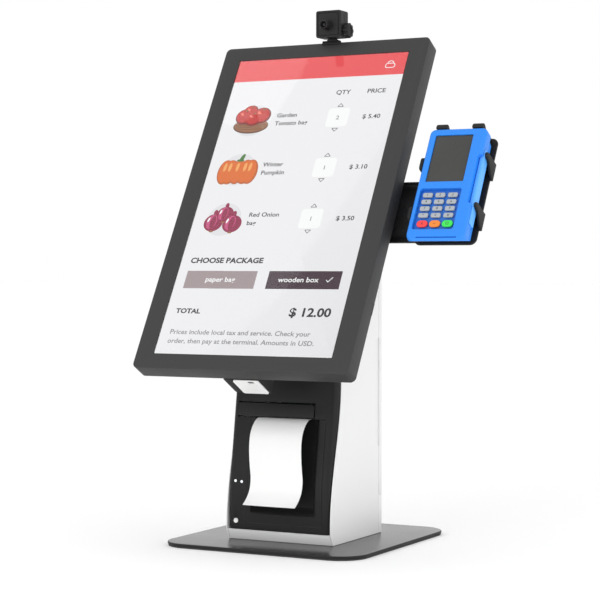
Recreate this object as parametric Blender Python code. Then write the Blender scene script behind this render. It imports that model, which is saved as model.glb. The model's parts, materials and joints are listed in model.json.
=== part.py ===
# Self checkout kiosk: a tilting portrait touch display on a slim column, with a receipt printer in
# the column's front, a barcode scanner under the display, a camera on top and a payment terminal
# held in a swivelling cradle beside it. Metres, +Z up, front towards -Y, origin under the base.
import math
from collections import namedtuple

import bmesh
import bpy
from mathutils import Euler, Matrix, Vector

GAP = 0.0003  # left between touching pieces

# Base and column
BASE_WIDTH = 0.300
BASE_DEPTH = 0.310
BASE_CORNER = 0.040
PAD_THICKNESS = 0.002
BASE_TOP = 0.006
COLUMN_FLOOR = BASE_TOP + GAP
COLUMN_HALF = 0.0807
SHEET = 0.0015
COLUMN_FRONT = -0.0535
FASCIA_FRONT = -0.0857
FASCIA_LEAN = 0.0218  # how far the front face stands back at its top
SEAM_Y = 0.0625
COLUMN_BACK = 0.0733
FRONT_TOP = 0.372
BACK_TOP = 0.460
INNER_FACE = COLUMN_HALF - SHEET
INNER_HALF = INNER_FACE - GAP
SKIRT_TOP = 0.0600
FLANGE_EDGE = -0.0715  # the left panel's return, which the lock's cam turns behind
LOCK_X = -0.0640
LOCK_Z = 0.2400

# Receipt printer
FASCIA_BOTTOM = 0.0213
FASCIA_TOP = 0.3050
FASCIA_WALL = 0.0025
DOOR_LEFT = -0.0480
DOOR_RIGHT = 0.0660
DOOR_BOTTOM = 0.0300
DOOR_TOP = 0.1740
LIP_LEFT = -0.0703
LIP_RIGHT = 0.0485
LIP_TOP = 0.1958
RECESS_DEPTH = 0.016
RECESS_LEFT = -0.0420
RECESS_RIGHT = 0.0570
RECESS_LOW = 0.0480
DOOR_DEPTH = 0.019
PRINT_CENTRE = 0.0010
PAPER_WIDTH = 0.080
PAPER_SHEET = 0.0004
ROLL_RADIUS = 0.030
ROLL_AXIS = (-0.0240, 0.0760)
PLATEN_RADIUS = 0.0060
PLATEN_AXIS = (-0.0462, 0.1640)
DOOR_ROUND = 0.0035  # radius of the door's lower front edge, about its hinge
DOOR_AXIS = (FASCIA_FRONT + DOOR_ROUND, DOOR_BOTTOM + GAP + DOOR_ROUND)
LIGHT_SPOTS = ((-0.0673, 0.0868), (-0.0576, 0.0861))
BUTTON_SPOT = (-0.0652, 0.0326)

# Display head, measured across (x), backwards from its front (d) and up along it (s)
TILT = math.radians(29.54)
HEAD_FOOT = Vector((0.0, -0.1983, 0.2459))
HEAD_WIDTH = 0.3233
HEAD_HEIGHT = 0.5187
HEAD_RIM = 0.0267
WINDOW_HALF = 0.1340
WINDOW_LOW = 0.0217
WINDOW_HIGH = 0.4960
HOUSING_HALF = 0.1400
HOUSING_LOW = 0.0600
HOUSING_HIGH = 0.4600
HOUSING_BACK = 0.0505
PIVOT_D = 0.0700
PIVOT_S = 0.2700
AXLE_RADIUS = 0.0050

# Terminal and its cradle, in the head's own directions
CRADLE_X = 0.2340
CRADLE_AXIS_D = 0.0455
TERMINAL_LOW = 0.1930
TERMINAL_HIGH = 0.3660
TERMINAL_SPLIT = 0.0165
TERMINAL_BACK = 0.0358
TERMINAL_LEFT = 0.1955
TERMINAL_RIGHT = 0.2775
PLATE_FRONT = 0.0362
PLATE_BACK = 0.0398
KEY_TRAVEL = 0.0010
KEYPAD_FLOOR = 0.0050
KEY_COLUMNS = (0.2137, 0.2315, 0.2493)
KEY_ROWS = (0.2630, 0.2528, 0.2426, 0.2324)
FUNCTION_ROW = 0.2196

# Camera
CAMERA_X = 0.0090
CAMERA_PAN_Y = 0.0610
CAMERA_TILT_Z = 0.7130
CAMERA_HALF = 0.0195
CAMERA_FRONT = 0.0460
CAMERA_BACK = 0.0700
CAMERA_LOW = 0.7032
CAMERA_HIGH = 0.7413
LENS_Z = 0.7199

Place = namedtuple("Place", "empty zero")


# ---------------------------------------------------------------- tools

def clear_scene():
    for item in list(bpy.data.objects):
        bpy.data.objects.remove(item, do_unlink=True)


def new_collection(name, hidden=False):
    collection = bpy.data.collections.new(name)
    bpy.context.scene.collection.children.link(collection)
    collection.hide_render = hidden
    return collection


def finish(name, colour, roughness, metallic=0.0):
    material = bpy.data.materials.new(name)
    material.use_nodes = True
    shader = material.node_tree.nodes["Principled BSDF"]
    shader.inputs["Base Color"].default_value = (*colour, 1.0)
    shader.inputs["Roughness"].default_value = roughness
    shader.inputs["Metallic"].default_value = metallic
    return material


def place_at(name, location, tilt=0.0, zero=(0.0, 0.0, 0.0)):
    """An empty on a joint's axis. zero is that point in its pieces' own coordinates."""
    empty = bpy.data.objects.new(name, None)
    empty.location = location
    empty.rotation_euler = (-tilt, 0.0, 0.0)
    PARTS.objects.link(empty)
    return Place(empty, Vector(zero))


def add_piece(name, shape, material, place, origin=(0.0, 0.0, 0.0)):
    """One solid. The shape and its origin are in the place's coordinates."""
    piece = shape_object(name, shape, place, Vector(origin), PARTS)
    piece.data.materials.append(material)
    piece.data.shade_smooth()
    piece.data.set_sharp_from_angle(angle=math.radians(35))
    return piece


def shape_object(name, shape, place, origin, collection):
    bmesh.ops.translate(shape, verts=shape.verts, vec=-origin)
    bmesh.ops.recalc_face_normals(shape, faces=shape.faces)
    mesh = bpy.data.meshes.new(name)
    shape.to_mesh(mesh)
    shape.free()
    piece = bpy.data.objects.new(name, mesh)
    piece.location = origin - place.zero
    piece.parent = place.empty
    collection.objects.link(piece)
    return piece


def combine(piece, shape, place, operation):
    """Cuts a shape from a piece or joins it on. The shape is in the place's coordinates."""
    origin = piece.location + place.zero
    helper = shape_object(f"{piece.name}_{operation.lower()}", shape, place, origin, CUTTERS)
    helper.hide_render = True
    helper.display_type = "WIRE"
    modifier = piece.modifiers.new(operation.title(), "BOOLEAN")
    modifier.operation = operation
    modifier.object = helper


def cut(piece, shape, place):
    combine(piece, shape, place, "DIFFERENCE")


def join(piece, shape, place):
    combine(piece, shape, place, "UNION")


def box(low, high):
    low, high = Vector(low), Vector(high)
    shape = bmesh.new()
    size = Matrix.Diagonal((*(high - low), 1.0))
    bmesh.ops.create_cube(shape, size=1.0, matrix=Matrix.Translation((low + high) / 2) @ size)
    return shape


def round_edges(shape, axis, radius, segments=4, where=None):
    """Rounds the edges along one axis (0, 1 or 2), or only those whose middle passes a test."""
    chosen = []
    for edge in shape.edges:
        along = edge.verts[1].co - edge.verts[0].co
        middle = (edge.verts[0].co + edge.verts[1].co) / 2
        if abs(along[axis]) > 0.999 * along.length and (where is None or where(middle)):
            chosen.append(edge)
    bmesh.ops.bevel(
        shape, geom=chosen, offset=radius, segments=segments, profile=0.5, affect="EDGES"
    )
    return shape


def soften_face(shape, axis, value, radius, segments=2):
    """Rounds every edge of the flat face that lies at one value of an axis."""
    chosen = [
        edge for edge in shape.edges
        if all(abs(vert.co[axis] - value) < 1e-6 for vert in edge.verts)
    ]
    bmesh.ops.bevel(
        shape, geom=chosen, offset=radius, segments=segments, profile=0.5, affect="EDGES"
    )
    return shape


def rod(start, end, radius, sides=24, end_radius=None):
    """A round bar between two points, or a cone when the end has its own radius."""
    start, end = Vector(start), Vector(end)
    direction = end - start
    turn = Vector((0.0, 0.0, 1.0)).rotation_difference(direction).to_matrix().to_4x4()
    shape = bmesh.new()
    bmesh.ops.create_cone(
        shape, cap_ends=True, segments=sides, radius1=radius,
        radius2=radius if end_radius is None else end_radius, depth=direction.length,
        matrix=Matrix.Translation((start + end) / 2) @ turn,
    )
    return shape


def side_profile(points, x_low, x_high):
    """A flat outline in Y and Z, made solid from one x to another."""
    curve = bpy.data.curves.new("outline", "CURVE")
    curve.dimensions = "2D"
    curve.fill_mode = "BOTH"
    curve.extrude = (x_high - x_low) / 2
    spline = curve.splines.new("POLY")
    spline.points.add(len(points) - 1)
    for target, (y, z) in zip(spline.points, points):
        target.co = (y, z, 0.0, 1.0)
    spline.use_cyclic_u = True
    guide = bpy.data.objects.new("outline", curve)
    CUTTERS.objects.link(guide)
    bpy.context.view_layer.update()
    graph = bpy.context.evaluated_depsgraph_get()
    mesh = bpy.data.meshes.new_from_object(guide.evaluated_get(graph))
    bpy.data.objects.remove(guide, do_unlink=True)
    shape = bmesh.new()
    shape.from_mesh(mesh)
    bmesh.ops.remove_doubles(shape, verts=shape.verts, dist=1e-6)
    stand = Euler((math.pi / 2, 0.0, math.pi / 2)).to_matrix().to_4x4()
    middle = Matrix.Translation(((x_low + x_high) / 2, 0.0, 0.0))
    bmesh.ops.transform(shape, verts=shape.verts, matrix=middle @ stand)
    return shape


def standing_block(x_range, z_range, front, back, radius=0.0):
    """A block between a front and a back given as a y for every height, its front corners rounded."""
    x_low, x_high = x_range
    z_low, z_high = z_range
    corner = [math.pi / 2 * step / 5 for step in range(6)] if radius else [math.pi / 2]
    steps = max(1, round((z_high - z_low) / 0.020))
    shape = bmesh.new()
    rings = []
    for step in range(steps + 1):
        z = z_low + (z_high - z_low) * step / steps
        arc = [(radius * (1 - math.cos(a)), front(z) + radius * (1 - math.sin(a)), z) for a in corner]
        ring = [(x_low, back(z), z)]
        ring += [(x_low + across, y, height) for across, y, height in arc]
        ring += [(x_high - across, y, height) for across, y, height in reversed(arc)]
        ring.append((x_high, back(z), z))
        rings.append([shape.verts.new(point) for point in ring])
    for low, high in zip(rings, rings[1:]):
        for index, corner_vert in enumerate(low):
            after = (index + 1) % len(low)
            shape.faces.new((corner_vert, low[after], high[after], high[index]))
    shape.faces.new(rings[0])
    shape.faces.new(rings[-1])
    return shape


def ease(value):
    """A smooth step from 0 to 1."""
    value = min(max(value, 0.0), 1.0)
    return value * value * (3 - 2 * value)


def head_point(x, d, s):
    """World place of a point given in the head's own coordinates."""
    across = Vector((0.0, math.cos(TILT), -math.sin(TILT)))
    upward = Vector((0.0, math.sin(TILT), math.cos(TILT)))
    return HEAD_FOOT + Vector((x, 0.0, 0.0)) + across * d + upward * s


# ---------------------------------------------------------------- base and column

def column_edge(z):
    """The y of the side panel's front edge: well forward at the foot, back behind the display."""
    return FASCIA_FRONT + (COLUMN_FRONT - FASCIA_FRONT) * ease((z - 0.030) / 0.195)


def front_face(z):
    """The y of the fascia's front, which leans back above its foot."""
    return FASCIA_FRONT + FASCIA_LEAN * ease((z - 0.050) / 0.200)


def behind_front(distance):
    return lambda z: front_face(z) + distance


def flat_at(y):
    return lambda z: y


def deck_height(y):
    """The z of the column's sloping top edge."""
    return FRONT_TOP + (BACK_TOP - FRONT_TOP) * (y - COLUMN_FRONT) / (COLUMN_BACK - COLUMN_FRONT)


def column_outline(back):
    front = [(-0.0783, COLUMN_FLOOR), (FASCIA_FRONT, 0.0207)]
    front += [(column_edge(z), z) for z in (0.035 + 0.019 * step for step in range(11))]
    top = [(COLUMN_FRONT, FRONT_TOP), (back, deck_height(back))]
    return front + top + [(back, COLUMN_FLOOR)]


def build_base(looks, world):
    half_x, half_y = BASE_WIDTH / 2, BASE_DEPTH / 2
    inset = 0.001
    pad = box((inset - half_x, inset - half_y, 0.0), (half_x - inset, half_y - inset, PAD_THICKNESS))
    round_edges(pad, 2, BASE_CORNER - inset, 8)
    add_piece("base_pad", pad, looks["rubber"], world)
    plate = box((-half_x, -half_y, PAD_THICKNESS + GAP), (half_x, half_y, BASE_TOP))
    round_edges(plate, 2, BASE_CORNER, 12)
    soften_face(plate, 2, BASE_TOP, 0.0006, 1)
    add_piece("base_plate", plate, looks["mirror"], world)


def build_column(looks, world):
    for side, name in ((-1, "side_panel_left"), (1, "side_panel_right")):
        inner, outer = sorted((side * (COLUMN_HALF - SHEET), side * COLUMN_HALF))
        panel = side_profile(column_outline(SEAM_Y - GAP), inner, outer)
        piece = add_piece(name, panel, looks["white"], world)
        if side > 0:
            cut(piece, hinge_space(), world)
        else:
            flange = box((-INNER_FACE - 0.0005, SEAM_Y - GAP - SHEET, 0.0100),
                         (FLANGE_EDGE, SEAM_Y - GAP, 0.4450))
            join(piece, flange, world)
    toe = side_profile(
        [(-0.0783, COLUMN_FLOOR), (FASCIA_FRONT, 0.0209), (-0.0560, 0.0209), (-0.0560, 0.0194),
         (-0.0836, 0.0194), (-0.0774, COLUMN_FLOOR + SHEET), (SEAM_Y - GAP, COLUMN_FLOOR + SHEET),
         (SEAM_Y - GAP, COLUMN_FLOOR)],
        -INNER_HALF, INNER_HALF,
    )
    add_piece("column_floor", toe, looks["white"], world)
    back_y = SEAM_Y - GAP
    back_z = deck_height(back_y) - 0.0010
    front_z = FRONT_TOP - 0.0010
    top = side_profile(
        [(COLUMN_FRONT, FASCIA_TOP + GAP), (COLUMN_FRONT, front_z), (back_y, back_z),
         (back_y, back_z - SHEET), (COLUMN_FRONT + SHEET, front_z - SHEET),
         (COLUMN_FRONT + SHEET, FASCIA_TOP + GAP)],
        -INNER_HALF, INNER_HALF,
    )
    add_piece("top_cover", top, looks["white"], world)


def hinge_space():
    return rod((COLUMN_HALF, SEAM_Y, 0.13), (COLUMN_HALF, SEAM_Y, 0.28), 0.0028, 12)


def tray(low, high, radius):
    """The rear shell's outer block, with its two upright back edges rounded."""
    return round_edges(box(low, high), 2, radius, 3, lambda middle: middle.y > high[1] - 1e-6)


def build_rear(looks, world, door_place):
    front = SEAM_Y + GAP
    skirt = tray((-COLUMN_HALF, front, COLUMN_FLOOR), (COLUMN_HALF, COLUMN_BACK, SKIRT_TOP - GAP), 0.002)
    piece = add_piece("rear_skirt", skirt, looks["white"], world)
    cut(piece, box((-INNER_FACE, 0.0, 0.0), (INNER_FACE, COLUMN_BACK - SHEET, SKIRT_TOP - 0.004)), world)
    cut(piece, box((0.0165, 0.05, 0.0190), (0.0435, 0.08, 0.0430)), world)
    cut(piece, box((-0.0440, 0.05, 0.0235), (-0.0230, 0.08, 0.0385)), world)

    hinge = (COLUMN_HALF, SEAM_Y, SKIRT_TOP)
    door = tray((-COLUMN_HALF, front, SKIRT_TOP), (COLUMN_HALF, COLUMN_BACK, BACK_TOP), 0.002)
    piece = add_piece("rear_door", door, looks["white"], door_place, hinge)
    inside = box((-INNER_FACE, 0.0, SKIRT_TOP + SHEET), (INNER_FACE, COLUMN_BACK - SHEET, BACK_TOP - SHEET))
    cut(piece, inside, door_place)
    cut(piece, hinge_space(), door_place)
    cut(piece, rod((LOCK_X, 0.05, LOCK_Z), (LOCK_X, 0.08, LOCK_Z), 0.0068, 20), door_place)
    barrel = rod((COLUMN_HALF, SEAM_Y, 0.135), (COLUMN_HALF, SEAM_Y, 0.275), 0.0022, 16)
    add_piece("rear_hinge", barrel, looks["white"], world)

    build_lock(looks)


def build_lock(looks):
    centre = (LOCK_X, COLUMN_BACK, LOCK_Z)
    lock_place = place_at("rear_lock_axis", centre, zero=centre)
    inner, outer = COLUMN_BACK - 0.0153, COLUMN_BACK + 0.0015
    lock = rod((LOCK_X, inner, LOCK_Z), (LOCK_X, outer, LOCK_Z), 0.0062, 20)
    piece = add_piece("rear_lock", lock, looks["steel"], lock_place, centre)
    cam = box((LOCK_X - 0.004, inner, LOCK_Z - 0.004), (LOCK_X + 0.004, inner + 0.002, LOCK_Z + 0.0135))
    join(piece, cam, lock_place)
    slot = box((LOCK_X - 0.0008, COLUMN_BACK + 0.0003, LOCK_Z - 0.0035),
               (LOCK_X + 0.0008, outer + 0.01, LOCK_Z + 0.0035))
    cut(piece, slot, lock_place)


def build_power(looks, world):
    inlet = box((0.0168, 0.0500, 0.0193), (0.0432, 0.0745, 0.0427))
    piece = add_piece("power_inlet", inlet, looks["plastic"], world)
    flange = box((0.0135, COLUMN_BACK + GAP, 0.0165), (0.0465, 0.0755, 0.0455))
    join(piece, round_edges(flange, 1, 0.003, 3), world)
    cut(piece, box((0.0190, 0.0570, 0.0225), (0.0410, 0.08, 0.0395)), world)
    pivot = (-0.0335, COLUMN_BACK, 0.0310)
    rocker_place = place_at("power_switch_axis", pivot, zero=pivot)
    outline = [(0.0665, 0.0252), (0.0665, 0.0368), (0.0752, 0.0368), (0.0728, 0.0310), (0.0752, 0.0252)]
    rocker = side_profile(outline, -0.0425, -0.0245)
    add_piece("power_switch", rocker, looks["plastic"], rocker_place, pivot)
    supply = box((-0.0620, 0.0140, 0.0090), (0.0050, 0.0480, 0.1090))
    soften_face(supply, 2, 0.1090, 0.003)
    add_piece("power_supply", supply, looks["steel"], world)
    board = box((-0.0600, 0.0360, 0.1700), (0.0600, 0.0376, 0.3300))
    piece = add_piece("controller_board", board, looks["board"], world)
    join(piece, box((-0.02, 0.0225, 0.22), (0.02, 0.0365, 0.26)), world)
    join(piece, box((0.03, 0.0240, 0.18), (0.055, 0.0365, 0.20)), world)


# ---------------------------------------------------------------- receipt printer

def build_fascia(looks, world):
    half = INNER_HALF
    wall = FASCIA_WALL
    shell = standing_block((-half, half), (FASCIA_BOTTOM, FASCIA_TOP), front_face,
                           flat_at(COLUMN_FRONT - GAP), 0.009)
    fascia = add_piece("front_fascia", shell, looks["plastic"], world)
    pocket = standing_block((wall - half, half - wall), (FASCIA_BOTTOM + wall, FASCIA_TOP - wall),
                            behind_front(wall), flat_at(0.0), 0.007)
    cut(fascia, pocket, world)
    cut(fascia, box((DOOR_LEFT, -0.1, DOOR_BOTTOM), (DOOR_RIGHT, -0.06, DOOR_TOP + GAP)), world)
    cut(fascia, box((LIP_LEFT, -0.1, DOOR_TOP + 0.0001), (LIP_RIGHT, -0.06, LIP_TOP)), world)
    for x, z in LIGHT_SPOTS:
        cut(fascia, rod((x, -0.1, z), (x, -0.08, z), 0.0020, 16), world)
    x, z = BUTTON_SPOT
    cut(fascia, rod((x, -0.1, z), (x, -0.08, z), 0.0038, 16), world)

    lip_back = -0.0560
    lip = standing_block((LIP_LEFT + GAP, LIP_RIGHT - GAP), (DOOR_TOP + 0.0020, LIP_TOP - GAP),
                         behind_front(-0.0013), flat_at(lip_back))
    round_edges(lip, 1, 0.004, 3, lambda middle: middle.z > 0.19 and middle.x > 0)
    add_piece("paper_exit_lip", lip, looks["plastic"], world)
    root, tip = lip_back + 0.0005, lip_back + 0.0140
    blade = side_profile(
        [(root, 0.1760), (root, 0.1768), (root + 0.0055, 0.1810), (tip, 0.1810), (tip, 0.1800),
         (root + 0.0058, 0.1800)],
        PRINT_CENTRE - 0.043, PRINT_CENTRE + 0.043,
    )
    add_piece("tear_bar", blade, looks["steel"], world)


def build_printer(looks, world, door_place):
    reach = PAPER_WIDTH / 2 + 0.0070
    left, right = PRINT_CENTRE - reach, PRINT_CENTRE + reach
    bucket = box((left, -0.0590, 0.0400), (right, 0.0090, 0.1250))
    piece = add_piece("roll_bucket", bucket, looks["plastic"], world)
    cut(piece, box((left + 0.002, -0.08, 0.0425), (right - 0.002, 0.0070, 0.2)), world)
    head_front = PLATEN_AXIS[0] + PLATEN_RADIUS + 0.0006
    head = box((PRINT_CENTRE - 0.043, head_front, 0.1520),
               (PRINT_CENTRE + 0.043, head_front + 0.0072, 0.1740))
    add_piece("print_head", soften_face(head, 2, 0.1740, 0.002), looks["steel"], world)

    door = standing_block((DOOR_LEFT + GAP, DOOR_RIGHT - GAP), (DOOR_BOTTOM + GAP, DOOR_TOP - GAP),
                          front_face, behind_front(DOOR_DEPTH))
    round_edges(door, 0, DOOR_ROUND, 5, lambda middle: middle.z < 0.031 and middle.y < -0.08)
    hinge = (0.0, *DOOR_AXIS)
    piece = add_piece("printer_door", door, looks["plastic"], door_place, hinge)
    recess = standing_block((RECESS_LEFT, RECESS_RIGHT), (RECESS_LOW, 0.2), behind_front(-0.05),
                            behind_front(RECESS_DEPTH))
    round_edges(recess, 1, 0.006, 3, lambda middle: middle.z < RECESS_LOW + 0.001)
    cut(piece, recess, door_place)
    slope = [(-0.0700, DOOR_TOP - GAP), (-0.0400, 0.1684), (-0.0400, 0.1800), (-0.0700, 0.1800)]
    cut(piece, side_profile(slope, -0.06, 0.08), door_place)
    hollow = standing_block((RECESS_RIGHT + 0.002, DOOR_RIGHT - 0.002), (0.0340, 0.1660),
                            behind_front(0.003), flat_at(0.0))
    cut(piece, hollow, door_place)
    y, z = PLATEN_AXIS
    for x in (PRINT_CENTRE - 0.0460, PRINT_CENTRE + 0.0430):
        join(piece, box((x, y - 0.0088, z - 0.007), (x + 0.003, y + 0.0032, z + 0.005)), door_place)
    cut(piece, rod((-0.06, y, z), (0.08, y, z), 0.0025, 12), door_place)

    platen_place = place_at("platen_axis", (PRINT_CENTRE, y, z), zero=(PRINT_CENTRE, y, z))
    tube = rod((PRINT_CENTRE - 0.0415, y, z), (PRINT_CENTRE + 0.0415, y, z), PLATEN_RADIUS, 20)
    piece = add_piece("platen_roller", tube, looks["rubber"], platen_place, (PRINT_CENTRE, y, z))
    shaft = rod((PRINT_CENTRE - 0.0475, y, z), (PRINT_CENTRE + 0.0475, y, z), 0.0021, 12)
    join(piece, shaft, platen_place)

    y, z = ROLL_AXIS
    roll_place = place_at("paper_roll_axis", (PRINT_CENTRE, y, z), zero=(PRINT_CENTRE, y, z))
    half = PAPER_WIDTH / 2
    roll = rod((PRINT_CENTRE - half, y, z), (PRINT_CENTRE + half, y, z), ROLL_RADIUS, 32)
    piece = add_piece("paper_roll", roll, looks["paper"], roll_place, (PRINT_CENTRE, y, z))
    cut(piece, rod((-0.1, y, z), (0.1, y, z), 0.0065, 16), roll_place)


def paper_route():
    """The receipt's middle line: out of the slot, over the ledge, then curling forward at its end."""
    knots = [(-0.0590, 0.1738), (-0.0690, 0.1739), (-0.0790, 0.1698), (-0.0875, 0.1612),
             (-0.0928, 0.1510), (-0.0952, 0.1370), (-0.0950, 0.1220), (-0.0932, 0.1065),
             (-0.0912, 0.0920), (-0.0945, 0.0775), (-0.1030, 0.0665), (-0.1135, 0.0587)]
    knots = [Vector(knot) for knot in knots]
    padded = [2 * knots[0] - knots[1]] + knots + [2 * knots[-1] - knots[-2]]
    route = []
    for a, b, c, d in zip(padded, padded[1:], padded[2:], padded[3:]):
        for step in range(3):
            t = step / 3
            route.append(0.5 * (2 * b + (c - a) * t + (2 * a - 5 * b + 4 * c - d) * t ** 2
                                + (3 * b - a - 3 * c + d) * t ** 3))
    return route + [knots[-1]]


def build_receipt(looks, door_place):
    route = paper_route()
    front, back = [], []
    for index, point in enumerate(route):
        along = (route[min(index + 1, len(route) - 1)] - route[max(index - 1, 0)]).normalized()
        side = Vector((-along.y, along.x)) * PAPER_SHEET / 2
        front.append(point + side)
        back.append(point - side)
    half = PAPER_WIDTH / 2
    sheet = side_profile(front + back[::-1], PRINT_CENTRE - half, PRINT_CENTRE + half)
    add_piece("receipt_paper", sheet, looks["paper"], door_place, (0.0, *DOOR_AXIS))


def build_printer_controls(looks, world):
    lights = box((-0.0710, -0.0805, 0.0830), (-0.0540, -0.0790, 0.0900))
    piece = add_piece("status_lights", lights, looks["white"], world)
    for x, z in LIGHT_SPOTS:
        join(piece, rod((x, front_face(z) - GAP, z), (x, -0.0800, z), 0.0017, 16), world)
    spot = (BUTTON_SPOT[0], FASCIA_FRONT, BUTTON_SPOT[1])
    button_place = place_at("feed_button_axis", spot, zero=spot)
    stem = rod((spot[0], -0.0868, spot[2]), (spot[0], -0.0795, spot[2]), 0.0034, 20)
    add_piece("feed_button", stem, looks["white"], button_place, spot)


# ---------------------------------------------------------------- display head

def build_display(looks, head):
    half = HEAD_WIDTH / 2
    wall = 0.0028
    frame = box((-half, 0.0, 0.0), (half, HEAD_RIM, HEAD_HEIGHT))
    round_edges(frame, 1, 0.007, 5)
    soften_face(frame, 1, 0.0, 0.0012, 2)
    bezel = add_piece("display_bezel", frame, looks["bezel"], head)
    pocket = box((wall - half, wall, wall), (half - wall, 0.1, HEAD_HEIGHT - wall))
    cut(bezel, round_edges(pocket, 1, 0.0045, 3), head)
    cut(bezel, box((-WINDOW_HALF, -0.1, WINDOW_LOW), (WINDOW_HALF, 0.1, WINDOW_HIGH)), head)

    glass = box((GAP - WINDOW_HALF, 0.0006, WINDOW_LOW + GAP),
                (WINDOW_HALF - GAP, 0.0026, WINDOW_HIGH - GAP))
    add_piece("touch_glass", glass, looks["glass"], head)
    lcd = box((-0.1420, 0.0032, 0.0130), (0.1420, 0.0150, 0.5050))
    add_piece("lcd_panel", lcd, looks["screen"], head)

    edge = half - wall - GAP
    cover = box((-edge, HEAD_RIM - 0.0025, wall + GAP), (edge, HEAD_RIM, HEAD_HEIGHT - wall - GAP))
    rear = add_piece("rear_cover", round_edges(cover, 1, 0.0042, 3), looks["plastic"], head)
    raised = box((-HOUSING_HALF, HEAD_RIM - 0.002, HOUSING_LOW), (HOUSING_HALF, HOUSING_BACK, HOUSING_HIGH))
    round_edges(raised, 1, 0.010, 4)
    join(rear, soften_face(raised, 1, HOUSING_BACK, 0.003, 2), head)
    inset = 0.0025
    hollow = box((inset - HOUSING_HALF, 0.0, HOUSING_LOW + inset),
                 (HOUSING_HALF - inset, HOUSING_BACK - inset, HOUSING_HIGH - inset))
    cut(rear, round_edges(hollow, 1, 0.008, 3), head)


def build_tilt(looks, world, head):
    """The bracket on the column, the pin through it and the lugs that the display hangs on."""
    plate = box((-0.0500, HOUSING_BACK + GAP, 0.2050), (0.0500, HOUSING_BACK + 0.0033, 0.3350))
    round_edges(plate, 1, 0.006, 3)
    lugs = add_piece("tilt_plate", plate, looks["black_metal"], head, (0.0, PIVOT_D, PIVOT_S))
    for x in (-0.0310, 0.0270):
        lug = box((x, HOUSING_BACK + 0.002, PIVOT_S - 0.012), (x + 0.004, PIVOT_D, PIVOT_S + 0.012))
        join(lugs, lug, head)
        join(lugs, rod((x, PIVOT_D, PIVOT_S), (x + 0.004, PIVOT_D, PIVOT_S), 0.012, 24), head)
    cut(lugs, rod((-0.05, PIVOT_D, PIVOT_S), (0.05, PIVOT_D, PIVOT_S), AXLE_RADIUS + GAP, 24), head)

    pivot = head_point(0.0, PIVOT_D, PIVOT_S)
    front, back = -0.0350, 0.0450
    front_z, back_z = deck_height(front) - 0.0006, deck_height(back) - 0.0006
    foot = side_profile(
        [(front, front_z), (front, front_z + 0.003), (back, back_z + 0.003), (back, back_z)],
        -0.0460, 0.0460,
    )
    bracket = add_piece("neck_bracket", foot, looks["black_metal"], world)
    for x in (-0.0360, 0.0320):
        ear = [(pivot.y - 0.013, pivot.z), (pivot.y + 0.013, pivot.z),
               (back - 0.010, deck_height(back - 0.010) + 0.001),
               (front + 0.010, deck_height(front + 0.010) + 0.001)]
        join(bracket, side_profile(ear, x, x + 0.004), world)
        join(bracket, rod((x, pivot.y, pivot.z), (x + 0.004, pivot.y, pivot.z), 0.013, 24), world)
    cut(bracket, rod((-0.05, pivot.y, pivot.z), (0.05, pivot.y, pivot.z), AXLE_RADIUS + GAP, 24), world)
    axle = rod((-0.0390, pivot.y, pivot.z), (0.0390, pivot.y, pivot.z), AXLE_RADIUS, 24)
    piece = add_piece("tilt_axle", axle, looks["steel"], world, (0.0, pivot.y, pivot.z))
    for x in (-0.0400, 0.0363):
        join(piece, rod((x, pivot.y, pivot.z), (x + 0.0037, pivot.y, pivot.z), 0.0085, 24), world)


def build_scanner(looks, head):
    housing = box((-0.0330, HEAD_RIM + GAP, -0.0005), (0.0215, 0.0670, 0.0480))
    round_edges(housing, 2, 0.004, 3, lambda middle: middle.y > 0.06)
    piece = add_piece("scanner_housing", housing, looks["plastic"], head)
    cut(piece, box((-0.0200, HEAD_RIM + 0.0015, -0.01), (0.0190, 0.0655, 0.0020)), head)
    face = box((-0.0197, HEAD_RIM + 0.0018, -0.0022), (0.0187, 0.0652, 0.0015))
    round_edges(face, 2, 0.003, 3)
    piece = add_piece("scanner_face", face, looks["white"], head)
    slot = box((0.0020, 0.0295, -0.01), (0.0125, 0.0330, 0.0000))
    cut(piece, round_edges(slot, 2, 0.0015, 3), head)


# ---------------------------------------------------------------- camera

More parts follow.
